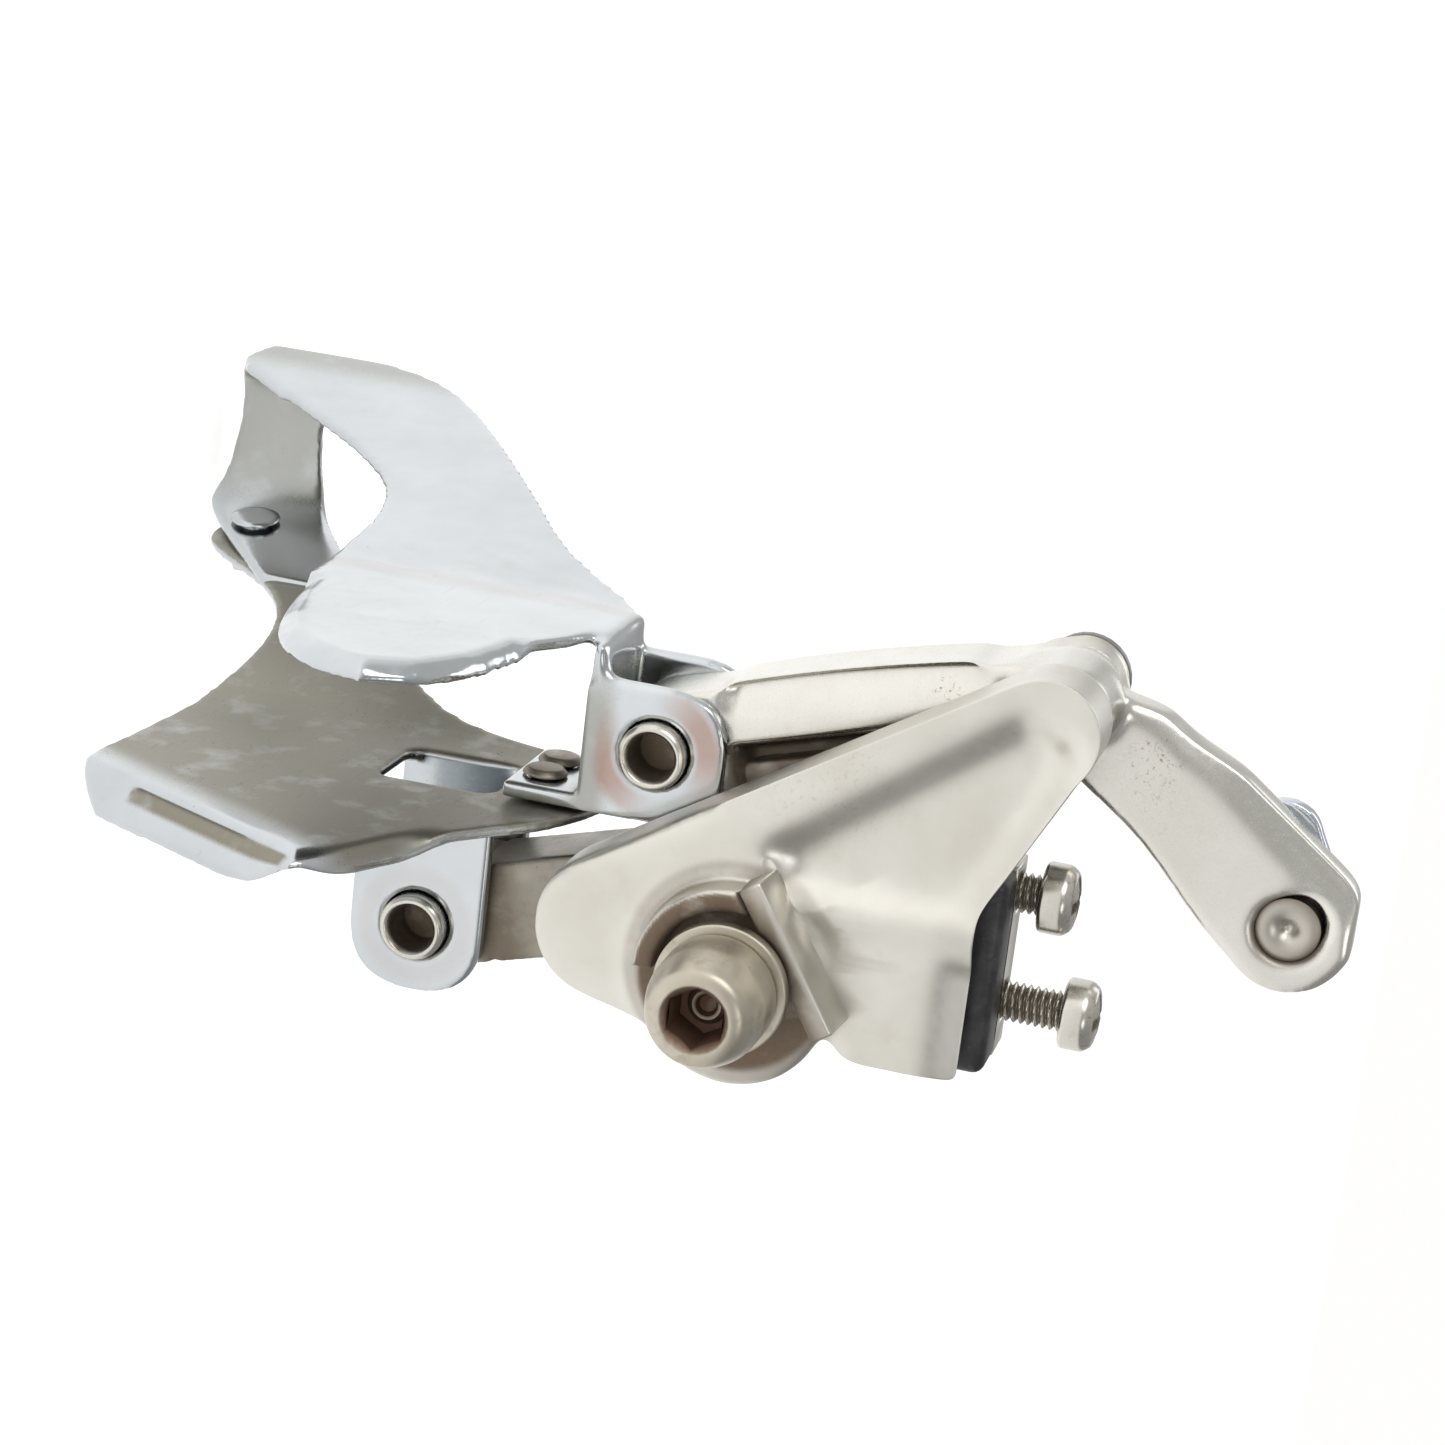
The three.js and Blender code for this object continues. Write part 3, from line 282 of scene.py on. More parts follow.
def threaded(name, radius, pitch, depth, low, high, steps=40):
    """A screw thread along Z as a closed tube."""
    rows = max(4, int((high - low) / pitch * 10))
    verts = []
    for j in range(rows + 1):
        z = low + (high - low) * j / rows
        for k in range(steps):
            turn = (z / pitch - k / steps) % 1
            crest = min(1.0, max(0.0, abs(turn - 0.5) * 2.6 - 0.15))
            fade = min(1.0, (z - low) / pitch, (high - z) / pitch + 0.3)
            r = radius - depth * (1 - crest * max(0.0, fade))
            a = 2 * math.pi * k / steps
            verts.append((r * math.cos(a), r * math.sin(a), z))
    ends = [list(range(steps))[::-1], [rows * steps + k for k in range(steps)]]
    return put(name, verts, tube_faces(rows, steps) + ends)


def prism(name, sides, radius, low, high, turn=0.0):
    ring = [(radius * math.cos(2 * math.pi * k / sides + turn),
             radius * math.sin(2 * math.pi * k / sides + turn)) for k in range(sides)]
    verts = [(x, y, low) for x, y in ring] + [(x, y, high) for x, y in ring]
    return put(name, verts, ring_faces(sides))


def block(name, low, high):
    (x0, y0, z0), (x1, y1, z1) = low, high
    verts = [(x, y, z) for z in (z0, z1) for y in (y0, y1) for x in (x0, x1)]
    faces = [(0, 2, 3, 1), (4, 5, 7, 6), (0, 1, 5, 4), (2, 6, 7, 3), (0, 4, 6, 2), (1, 3, 7, 5)]
    return put(name, verts, faces)


def carve(obj, *cutters):
    for cutter in cutters:
        mod = obj.modifiers.new("cut", "BOOLEAN")
        mod.operation = "DIFFERENCE"
        mod.solver = "EXACT"
        mod.object = cutter
        bake(obj)
        bpy.data.objects.remove(cutter)
    return obj


def beveled(obj, width, segments=3, angle=32):
    mod = obj.modifiers.new("bevel", "BEVEL")
    mod.width = width * MM
    mod.segments = segments
    mod.limit_method = "ANGLE"
    mod.angle_limit = math.radians(angle)
    return bake(obj)


# ---- materials -------------------------------------------------------------------------

MATERIALS = {}


class Paint:
    """A procedural material in object space; scales are features per metre."""

    def __init__(self, name, **sockets):
        self.mat = bpy.data.materials.new(name)
        self.mat.use_nodes = True
        self.tree = self.mat.node_tree
        self.shader = self.tree.nodes["Principled BSDF"]
        for key, value in sockets.items():
            self.shader.inputs[key.replace("_", " ")].default_value = value
        self.place = self.tree.nodes.new("ShaderNodeTexCoord").outputs["Object"]

    def node(self, kind, **settings):
        made = self.tree.nodes.new(kind)
        for key, value in settings.items():
            setattr(made, key, value)
        return made

    def link(self, source, target):
        self.tree.links.new(source, target)

    def noise(self, scale, detail=4.0, rough=0.6, stretch=(1, 1, 1), shift=0.0):
        mapping = self.node("ShaderNodeMapping")
        mapping.inputs["Scale"].default_value = stretch
        mapping.inputs["Location"].default_value = (shift, shift * 0.7, shift * 1.3)
        noise = self.node("ShaderNodeTexNoise")
        noise.inputs["Scale"].default_value = scale
        noise.inputs["Detail"].default_value = detail
        noise.inputs["Roughness"].default_value = rough
        self.link(self.place, mapping.inputs["Vector"])
        self.link(mapping.outputs["Vector"], noise.inputs["Vector"])
        return noise.outputs["Fac"]

    def spots(self, scale, size):
        cells = self.node("ShaderNodeTexVoronoi")
        cells.inputs["Scale"].default_value = scale
        self.link(self.place, cells.inputs["Vector"])
        return self.band(cells.outputs["Distance"], size, size * 0.45)

    def band(self, value, low, high):
        """0 at low, 1 at high, clamped; high may be the smaller."""
        reach = self.node("ShaderNodeMapRange", clamp=True)
        reach.inputs["From Min"].default_value = low
        reach.inputs["From Max"].default_value = high
        self.link(value, reach.inputs["Value"])
        return reach.outputs["Result"]

    def math(self, operation, a, b):
        made = self.node("ShaderNodeMath", operation=operation, use_clamp=True)
        for socket, value in zip(made.inputs, (a, b)):
            if isinstance(value, (int, float)):
                socket.default_value = value
            else:
                self.link(value, socket)
        return made.outputs["Value"]

    def attribute(self, name):
        return self.node("ShaderNodeAttribute", attribute_name=name).outputs["Fac"]

    def mix(self, share, a, b):
        made = self.node("ShaderNodeMix", data_type="RGBA")
        for socket, value in ((made.inputs[6], a), (made.inputs[7], b)):
            if isinstance(value, tuple):
                socket.default_value = (*value, 1)
            else:
                self.link(value, socket)
        self.link(share, made.inputs[0])
        return made.outputs[2]

    def ranged(self, value, low, high):
        reach = self.node("ShaderNodeMapRange", clamp=True)
        reach.inputs["To Min"].default_value = low
        reach.inputs["To Max"].default_value = high
        self.link(value, reach.inputs["Value"])
        return reach.outputs["Result"]

    def bump(self, height, strength, distance, chain=None):
        made = self.node("ShaderNodeBump")
        made.inputs["Strength"].default_value = strength
        made.inputs["Distance"].default_value = distance
        self.link(height, made.inputs["Height"])
        if chain is not None:
            self.link(chain, made.inputs["Normal"])
        return made.outputs["Normal"]


def metal(name, colour, shade, rough, stain=0.35, stain_colour=(0.20, 0.15, 0.10), grain=0.5,
          scratch=0.4, stretch=(1, 14, 14), pits=0.0, rust=0.0, cast=0.0, seed=0.0,
          soil_and_shade_colour=(0.17, 0.135, 0.10)):
    """Worn metal: mottled tone, hairline scratches and stains, with pits, rust, soil with painted
    shade, and a red-brown tint for painted reflection and shade, where the attributes say."""
    p = Paint(name, Metallic=1.0)
    broad = p.noise(90, 3, 0.55, shift=seed)
    fine = p.noise(1400, 3, 0.6, shift=seed)
    tone = p.mix(p.band(broad, 0.32, 0.68), colour, shade)
    patches = p.band(p.noise(260, 6, 0.68, shift=seed + 0.3), 0.56, 0.74)
    patches = p.math("MULTIPLY", patches, stain)
    # this attribute darkens the tone for real soil and for painted shade in recesses and creases
    soil_and_shade = p.attribute("soil_and_shade")
    broken = p.band(p.noise(210, 5, 0.55, shift=seed + 0.6), 0.0, 0.46)
    grime_and_shade = p.math("MULTIPLY", soil_and_shade, broken)
    dirt_and_shade = p.math("MAXIMUM", patches, grime_and_shade)
    tone = p.mix(patches, tone, stain_colour)
    tone = p.mix(grime_and_shade, tone, soil_and_shade_colour)
    # a red-brown tint, painted as reflection on the cage ears and as shade in the bolt's socket
    tone = p.mix(p.attribute("red_brown_tint"), tone, (0.33, 0.19, 0.14))
    clusters = p.band(p.noise(160, 4, shift=seed + 0.9), 0.5, 0.62)
    speck = p.math("MULTIPLY", p.spots(1500, 0.16), clusters)
    speck = p.math("MULTIPLY", speck, p.math("ADD", p.attribute("pits"), pits))
    tone = p.mix(speck, tone, (0.05, 0.035, 0.03))
    red = p.math("MULTIPLY", p.band(p.noise(2300, 5, 0.75, shift=seed + 1.4), 0.55, 0.66),
                 p.math("ADD", p.attribute("rust"), rust))
    tone = p.mix(red, tone, (0.16, 0.065, 0.03))
    p.link(tone, p.shader.inputs["Base Color"])
    lines = p.band(p.noise(260, 2, 0.5, stretch=stretch, shift=seed + 2), 0.62, 0.70)
    lines = p.math("MULTIPLY", lines, scratch)
    gloss = p.ranged(fine, rough * 0.8, rough * (1 + grain * 0.5))
    gloss = p.math("ADD", gloss, p.math("MULTIPLY", lines, 0.18))
    gloss = p.math("ADD", gloss, p.math("MULTIPLY", dirt_and_shade, 0.32))
    p.link(gloss, p.shader.inputs["Roughness"])
    height = p.math("SUBTRACT", p.ranged(fine, 0.4, 0.6), p.math("MULTIPLY", speck, 0.5))
    normal = p.bump(height, 0.012 + 0.25 * cast, 0.00003)
    normal = p.bump(lines, 0.10, 0.00002, normal)
    normal = p.bump(p.noise(260, 3, shift=seed + 3), 0.03 + 0.15 * cast, 0.0001, normal)
    p.link(normal, p.shader.inputs["Normal"])
    MATERIALS[name] = p.mat


def plastic(name, colour, rough):
    p = Paint(name, IOR=1.46)
    broad = p.noise(300, 5, 0.6)
    tone = p.mix(p.band(broad, 0.45, 0.75), colour, tuple(c * 2.6 + 0.01 for c in colour))
    dust = p.math("MULTIPLY", p.band(p.noise(900, 5, 0.7, shift=0.4), 0.58, 0.72), 0.4)
    tone = p.mix(dust, tone, (0.14, 0.12, 0.09))
    p.link(tone, p.shader.inputs["Base Color"])
    p.link(p.ranged(p.noise(1500, 3), rough * 0.85, rough * 1.2), p.shader.inputs["Roughness"])
    p.link(p.bump(p.noise(2600, 3), 0.25, 0.00004), p.shader.inputs["Normal"])
    MATERIALS[name] = p.mat


metal("cast_alloy", (0.66, 0.645, 0.595), (0.58, 0.56, 0.505), 0.33, stain=0.10,
      stain_colour=(0.40, 0.34, 0.25), scratch=0.25, cast=0.2, seed=1.0,
      soil_and_shade_colour=(0.20, 0.155, 0.115))
metal("forged_alloy", (0.67, 0.655, 0.61), (0.61, 0.595, 0.545), 0.27, stain=0.10,
      stain_colour=(0.40, 0.35, 0.27), scratch=0.3, pits=0.08, grain=0.15, seed=2.0)
metal("cage_chrome", (0.55, 0.575, 0.59), (0.49, 0.515, 0.53), 0.17, stain=0.12,
      stain_colour=(0.36, 0.34, 0.30), scratch=0.4, pits=0.12, seed=3.0,
      soil_and_shade_colour=(0.27, 0.255, 0.205))
metal("link_steel", (0.42, 0.40, 0.34), (0.27, 0.26, 0.24), 0.28, stain=0.5,
      stain_colour=(0.11, 0.09, 0.07), scratch=0.5, pits=0.6, seed=4.0)
metal("plain_steel", (0.62, 0.60, 0.55), (0.54, 0.52, 0.47), 0.24, stain=0.25,
      stain_colour=(0.22, 0.15, 0.09), scratch=0.4, rust=0.06, seed=5.0)
metal("bolt_steel", (0.56, 0.525, 0.45), (0.42, 0.375, 0.30), 0.36, stain=0.45,
      stain_colour=(0.20, 0.145, 0.095), scratch=0.3, cast=0.3, seed=6.0,
      soil_and_shade_colour=(0.10, 0.07, 0.045))
metal("spring_steel", (0.26, 0.26, 0.26), (0.17, 0.17, 0.18), 0.35, stain=0.4,
      stain_colour=(0.08, 0.06, 0.04), seed=7.0)
metal("clamp_chrome", (0.62, 0.66, 0.72), (0.50, 0.54, 0.60), 0.14, stain=0.15,
      seed=8.0)
plastic("black_plastic", (0.016, 0.016, 0.018), 0.42)


def finished(obj, body, slot, *nodes):
    """Gives a piece its material, its body, and the CAD nodes that it stands for."""
    obj.data.materials.clear()
    obj.data.materials.append(MATERIALS[slot])
    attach(obj, body)
    if nodes:
        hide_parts(*nodes)
    return obj


def near(co, centre, radius, soft=1.0):
    """1 within radius of a point in the YZ plane, easing to 0 over soft."""
    d = np.hypot(co[:, 1] - centre[0], co[:, 2] - centre[1])
    return 1 - step(radius, radius + soft, d)


# ---- body ------------------------------------------------------------------------------

FACE_X = -0.5                    # the casting's front face
POCKET_DEPTH, RIDGE_HEIGHT = 1.7, 0.45
BLOCK_DROP, CORNER_DROP = 0.5, 1.1
RIB = [(-10.3, 2.1), (2.7, 10.6)]
RIDGE = [(-7.9, 2.6), (-7.4, 20.2)]
RIB_CLEAR_OF_BOLT = 6.15
WEB = [(-12.6, 1.6), (-29.2, 23.6), (-27.6, 27.6), (-24.9, 28.6), (-14.2, 24.0), (-9.2, 20.9),
       (-8.4, 3.4)]


def inside_distance(co, polygon):
    """Distance in the YZ plane inside a convex polygon, negative outside."""
    pts = np.array(polygon)
    centre = pts.mean(0)
    depth = np.full(len(co), 1e9)
    for a, b in zip(pts, np.roll(pts, -1, axis=0)):
        along = (b - a) / np.linalg.norm(b - a)
        across = np.array([-along[1], along[0]])
        if (centre - a) @ across < 0:
            across = -across
        depth = np.minimum(depth, (co[:, 1:] - a) @ across)
    return depth


def face_level(co):
    """The height of the casting's front face over the YZ plane."""
    y, z = co[:, 1], co[:, 2]
    level = FACE_X - POCKET_DEPTH * step(-0.8, 2.2, inside_distance(co, WEB))
    a, run, across = line_frame(RIDGE)
    off = np.abs((co[:, 1:] - a) @ across)
    reach = (co[:, 1:] - a) @ run
    on_ridge = (1 - step(0.2, 1.7, off)) * step(-1, 3, reach) * (1 - step(15, 19, reach))
    on_block = step(-6.6, -4.4, y)
    level += RIDGE_HEIGHT * on_ridge
    level -= on_block * BLOCK_DROP
    level -= on_block * CORNER_DROP * step(17.8, 22.6, z)
    return level


def taper_knuckle(co):
    """Draws the outboard half of the rear knuckle in, more towards its rear end."""
    away = co[:, 1:] - P_BODY_OUTER
    reach = np.linalg.norm(away, axis=1)
    aim = away / np.maximum(reach, 1e-6)[:, None]
    outboard = step(0.0, 0.7, aim @ np.array([-0.87, 0.5]))
    limit = 5.5 - 0.30 * np.clip(-14.5 - co[:, 0], 0, 5.0)
    over = np.clip(reach - limit, 0, None) * outboard * (1 - step(7.0, 9.0, reach)) * step(
        -24.5, -23.5, co[:, 0]) * (1 - step(-12.5, -11.5, co[:, 0]))
    co[:, 1:] -= aim * over[:, None]
    return co


def body_shell():
    """The casting, with the pocket and ridge of its shield, and painted shade in the seat for the
    bolt.
    """
    obj = soft_copy("body_shell", "body_casting", BODY_VOXEL, 3)
    co, no = points(obj), normals(obj)
    from_bolt = np.hypot(co[:, 1], co[:, 2])
    front = step(0.3, 0.6, no[:, 0]) * step(-4.6, -3.4, co[:, 0]) * (1 - step(1.0, 2.2, co[:, 0]))
    clear = step(9.6, 11.0, from_bolt)
    a, _, across = line_frame(RIB)
    beyond = (co[:, 1:] - a) @ across
    off_seat = step(-2.4, -1.9, beyond) * step(6.6, 7.0, from_bolt) * step(-6.0, -3.0, co[:, 0])
    share = np.maximum(front * clear, off_seat)
    co = taper_knuckle(co)
    co[:, 0] += share * (face_level(co) - co[:, 0])
    set_points(obj, co)
    free = np.clip(0.12 + step(8.8, 10.6, from_bolt) + off_seat, 0, 1)
    top = 1 - step(19.0, 20.4, co[:, 2]) * step(-11.5, -10.0, co[:, 1])
    relax(obj, 34, free * (0.65 + 0.35 * top) * step(-9, -4, co[:, 0]))
    relax(obj, 3)
    co, no = points(obj), normals(obj)
    from_bolt = np.hypot(co[:, 1], co[:, 2])
    radial = (co[:, 1:] * no[:, 1:]).sum(1) / np.maximum(from_bolt, 1e-6)
    short_of_rib = 1 - step(-1.6, -0.9, (co[:, 1:] - a) @ across)
    # painted shade: the seat for the bolt, short of the rib, is darkened as the shadow of its wall,
    # and a fainter ring of painted shade follows its rim
    seat = (1 - step(8.8, 9.8, from_bolt)) * step(-4.0, -2.0, co[:, 0]) * (
        1 - step(0.3, 0.8, radial)) * short_of_rib
    rim = (1 - step(0.3, 1.2, np.abs(from_bolt - 10.0))) * 0.35
    attribute(obj, "soil_and_shade", np.clip(seat + rim, 0, 1))
    attribute(obj, "rust", 0.18 * near(co, (-19.5, 6.0), 4.0, 5.0))
    return smooth_shade(thinned(obj, KEPT_SHARE))


finished(body_shell(), "body", "cast_alloy", "body_casting")


def shoulder():
    """The crisp straight edge beside the bolt seat."""
    a, _, across = line_frame(RIB)
    b = np.array(RIB[1])
    rim = span("body_casting")[1][0]
    width = 2.2
    verts = []
    for x, slope in ((-2.2, 0.9), (rim - 0.05, 0.0)):
        for along, side in ((a, -width), (b, -width), (b, slope), (a, slope)):
            verts.append((x, *(along + across * side)))
    bar = welded(put("seat_shoulder", verts, ring_faces(4)))
    carve(bar, rotated((1, 0, 0), prism("seat", 64, RIB_CLEAR_OF_BOLT, -6, 8)))
    bar = beveled(bar, 0.28, 3)
    co = points(bar)
    # painted shade on the back of the bar, the side that faces the seat
    back = -((co[:, 1:] - a) @ across)
    attribute(bar, "soil_and_shade", step(0.15, 0.6, back) * 0.9)
    return smooth_shade(bar, 50)


finished(shoulder(), "body", "cast_alloy")


def screw_bar(name, low, high, ease):
    """A bar across the block with the two screw holes through it."""
    bar = block(name, low, high)
    holes = []
    for node in ("low_limit_screw", "high_limit_screw"):
        a, b = span(node)
        centre = (a + b) / 2
        holes.append(moved(prism("hole", 40, 2.1, -30, 30), (centre[0], centre[1], high[2])))
    return smooth_shade(beveled(carve(bar, *holes), ease, 4), 50)


INSERT_SPLIT = 2.3
low, high = span("screw_insert")
split = (span("low_limit_screw")[0][0] + span("low_limit_screw")[1][0]) / 2 + INSERT_SPLIT
finished(screw_bar("screw_rail", low, (split, high[1], high[2] - 0.1), 0.3), "body", "cast_alloy")
finished(screw_bar("screw_insert_strip", (split, low[1], low[2]), high, 1.1), "body",
         "black_plastic", "screw_insert")


# ---- links -----------------------------------------------------------------------------

CHANNEL_DEPTH, ARM_WAIST, ARM_SPREAD = 4.2, 0.9, 1.3
KNEE = [(-31.6, 20.5), (-31.9, 24.5), (-30.8, 28.0), (-28.4, 32.0), (-26.4, 35.0), (-25.6, 33.6),
        (-27.2, 28.5), (-28.4, 24.5), (-28.8, 20.5)]


def knee():
    """Fills the bend between the link and the cable arm with one even surface."""
    rear = span("outer_link")[0][0] + 0.4
    verts = [(rear, y, z) for y, z in KNEE]
    verts += [(-12.6 - 3.9 * float(step(20.0, 33.0, z)), y, z) for y, z in KNEE]
    obj = put("knee", verts, ring_faces(len(KNEE)))
    bm = bmesh.new()
    bm.from_mesh(obj.data)
    bmesh.ops.triangulate(bm, faces=bm.faces)
    bmesh.ops.recalc_face_normals(bm, faces=bm.faces)
    bm.to_mesh(obj.data)
    bm.free()
    return obj


def outer_arm():
    """The outer link and the cable arm, forged in one."""
    joined = merged("outer_arm_forging", [copy_of("link", "outer_link"), knee()])
    obj = relax(remeshed(joined, SHEET_VOXEL), 2)
    co, no = points(obj), normals(obj)
    lean = unit(P_BODY_OUTER - P_CAGE_OUTER)
    inboard = np.array([lean[1], -lean[0]])
    along = (co[:, 1:] - P_CAGE_OUTER) @ lean
    across = (co[:, 1:] - P_CAGE_OUTER) @ inboard
    length = np.linalg.norm(P_BODY_OUTER - P_CAGE_OUTER)
    bar_front = EAR_FRONT - EAR - 0.3
    on_bar = step(6.2, 8.4, along) * (1 - step(length - 8.5, length - 5.5, along))
    facing = step(0.25, 0.7, no[:, 0])
    open_side = step(0.5, 0.95, across) * on_bar * step(bar_front - 4.6, bar_front - 3.6, co[:, 0])
    co[:, 0] -= open_side * facing * CHANNEL_DEPTH
    crown = (1 - step(-3.2, -0.4, across)) * on_bar
    co[:, 0] -= crown * facing * 1.5 * (1 - step(-4.9, -1.2, across))
    belly = np.sin(np.pi * np.clip(along / length, 0, 1)) * 0.9
    co[:, 1:] -= np.outer(belly * (1 - step(-4.6, -1.0, across)) * on_bar, inboard)
    set_points(obj, co)
    lip = (1 - step(0.2, 2.2, np.abs(across - 0.6))) * on_bar
    relax(obj, 12, np.clip(1.0 - 0.75 * lip, 0, 1))
    co, no = points(obj), normals(obj)
    anchor = (span("cable_anchor_bolt")[0] + span("cable_anchor_bolt")[1])[1:] / 2
    run = unit(anchor - P_BODY_OUTER)
    side = np.array([run[1], -run[0]])
    out = (co[:, 1:] - P_BODY_OUTER) @ side
    far = (co[:, 1:] - P_BODY_OUTER) @ run
    arm = step(4.5, 8.0, far) * step(0.3, 0.75, no[:, 0])
    edge_out = np.maximum(0, -out - 3.6)
    co[:, 0] -= arm * 0.62 * edge_out
    waist = np.sin(np.pi * np.clip((far - 3) / 22, 0, 1)) ** 2
    co[:, 1:] -= np.outer(np.clip(out, 0, 8) / 6 * waist * ARM_WAIST, side)
    co[:, 1:] -= np.outer(np.clip(-out, 0, 6) / 6 * step(9, 17, far) * ARM_SPREAD, side)
    co[:, 2] = np.minimum(co[:, 2], CAD_HIGH.z / MM - 0.05)
    set_points(obj, taper_knuckle(co))
    bend = near(co, P_BODY_OUTER + np.array([-3.5, 5.0]), 6.5, 5.0) * (
        1 - near(co, P_BODY_OUTER, 3.6, 1.0))
    outer_side = step(2.0, 4.0, -((co[:, 1:] - P_BODY_OUTER) @ side)) * step(
        3.0, 6.0, (co[:, 1:] - P_BODY_OUTER) @ run)
    relax(obj, 45, np.maximum(bend, outer_side * 0.8))
    relax(obj, 2)
    co = points(obj)
    # painted shade round the hole under the cable anchor bolt
    hole = np.hypot(co[:, 1] - anchor[0], co[:, 2] - anchor[1])
    hole_shade = (1 - step(3.1, 3.9, hole)) * 0.8
    # painted shade in the open channel of the link, on its inboard side
    channel_shade = step(0.9, 1.5, (co[:, 1:] - P_CAGE_OUTER) @ inboard) * on_bar_of(co, lean, length)
    attribute(obj, "soil_and_shade", np.clip(hole_shade + channel_shade * 0.95, 0, 1))
    attribute(obj, "rust", near(co, (-22.6, 33.6), 1.2, 2.2) * 0.9 + near(
        co, (-27.3, 14.2), 0.5, 1.4) + 0.6 * near(co, (-31.5, 10.5), 0.6, 1.6))
    return smooth_shade(thinned(obj, KEPT_SHARE))


def on_bar_of(co, lean, length):
    """1 along the link between its two knuckles, easing to 0 at each."""
    along = (co[:, 1:] - P_CAGE_OUTER) @ lean
    return step(5.4, 7.0, along) * (1 - step(length - 6, length - 4, along))


finished(outer_arm(), "outer_arm", "forged_alloy", "outer_link")


def inner_arm():
    """The inner link, with a soft fold across it near the cage."""
    obj = soft_copy("inner_arm_link", "inner_link", SHEET_VOXEL, 4)
    co = points(obj)
    lean = unit(P_BODY_INNER - P_CAGE_INNER)
    along = (co[:, 1:] - P_CAGE_INNER) @ lean
    fold = (1 - step(0.15, 0.5, np.abs(along - 6.6))) * 0.35
    side = np.array([lean[1], -lean[0]])
    across = (co[:, 1:] - P_CAGE_INNER) @ side
    co[:, 1:] -= np.outer(fold * np.sign(across), side) * 0.6
    set_points(obj, co)
    relax(obj, 4)
    # darker all over, and more so in a band from about 5 to 12 mm along from the cage pin
    attribute(obj, "soil_and_shade", 0.35 + 0.5 * step(4.5, 6.5, along) * (1 - step(8, 12, along)))
    return smooth_shade(thinned(obj, KEPT_SHARE))


finished(inner_arm(), "inner_arm", "link_steel", "inner_link")


# ---- cage ------------------------------------------------------------------------------

SHEET = 1.2
OUTER_PLATE_Y, INNER_PLATE_Y = -9.4, 7.8
STRAP_Y = INNER_PLATE_Y + 0.86 - 1.5
BEND_X = -15.0
TAIL_SLOPE = 0.2
BEND_WAS, BEND_NOW = 5.0, 1.6    # how long the turn is in the CAD, and here
TAIL_MIDDLE = -64.0
RIM_WIDTH, RIM_CURL = 2.2, 1.25
CORNER_RADIUS = 7.5


def tail_shift(x, bend):
    """How far outboard the plates' tails have turned at x, with a turn of the given length."""
    past = BEND_X - x
    eased_part = -TAIL_SLOPE * (np.clip(past, -bend, bend) + bend) ** 2 / (4 * bend)
    return np.where(past >= bend, -TAIL_SLOPE * past, eased_part)


def outer_y(x):
    """The middle of the outer plate's tail."""
    return OUTER_PLATE_Y - TAIL_SLOPE * (BEND_X - x)


def inner_y(x):
    """The middle of the strap where it lies against the inner plate's tail."""
    return STRAP_Y - TAIL_SLOPE * (BEND_X - x)


def spline(knots, t):
    """A smooth curve through the knots, at shares t of the way along."""
    pts = np.array(knots, float)
    last = len(pts) - 1
    s = np.clip(t, 0, 1) * last
    i = np.minimum(s.astype(int), last - 1)
    w = (s - i)[:, None]
    p0, p1 = pts[np.maximum(i - 1, 0)], pts[i]
    p2, p3 = pts[i + 1], pts[np.minimum(i + 2, last)]
    v0, v1 = (p2 - p0) / 2, (p3 - p1) / 2
    return (2 * p1 - 2 * p2 + v0 + v1) * w ** 3 + (-3 * p1 + 3 * p2 - 2 * v0 - v1) * w ** 2 \
        + v0 * w + p1


def tail_saddle():
    """The strap that turns from the outer plate's tail across to the inner plate's."""
    path = [(-52, outer_y(-52)), (-56.5, outer_y(-56.5)), (-60.3, outer_y(-60) + 0.5),
            (-63.0, outer_y(-62) + 2.6), (-64.3, outer_y(-62) + 6.4),
            (-64.2, inner_y(-62) - 6.2), (-62.4, inner_y(-61) - 2.6),
            (-58.6, inner_y(-58.6) - 0.3), (-52.0, inner_y(-52) + 0.2), (-44, inner_y(-44) + 0.8)]
    lows = [-60.5, -65.5, -68.4, -69.4, -69.6, -70.1, -70.4, -70.5, -65.6, -58.0]
    highs = [-53.0, -55.4, -57.2, -58.8, -59.5, -59.4, -58.2, -56.0, -51.4, -45.4]
    u = np.linspace(0, 1, 90)
    xy = spline(path, u)
    low, high = (spline([(v,) for v in knots], u)[:, 0] for knots in (lows, highs))
    turn = np.gradient(xy, axis=0)
    turn /= np.linalg.norm(turn, axis=1)[:, None]
    side = np.column_stack([turn[:, 1], -turn[:, 0]])
    rows = 22
    verts, faces = [], []
    for face in (1, -1):
        for k in range(rows):
            v = k / (rows - 1)
            z = low + (high - low) * v
            curl = 0.5 * (2 * v - 1) ** 2 * np.sin(np.pi * u) ** 2
            out = side * (face * SHEET / 2 + curl[:, None])
            verts.append(np.column_stack([xy + out, z]))
    count = len(u)
    grid = np.vstack(verts) + PIVOT_FRAME
    for f in (0, 1):
        base = f * rows * count
        for k in range(rows - 1):
            for i in range(count - 1):
                a = base + k * count + i
                quad = (a, a + 1, a + count + 1, a + count)
                faces.append(quad if f else quad[::-1])
    other = rows * count
    rim = list(range(count)) + [k * count + count - 1 for k in range(1, rows)]
    rim += [(rows - 1) * count + i for i in range(count - 2, -1, -1)]
    rim += [k * count for k in range(rows - 2, 0, -1)]
    for a, b in zip(rim, rim[1:] + rim[:1]):
        faces.append((a, b, other + b, other + a))
    return put("tail_saddle", grid, faces)


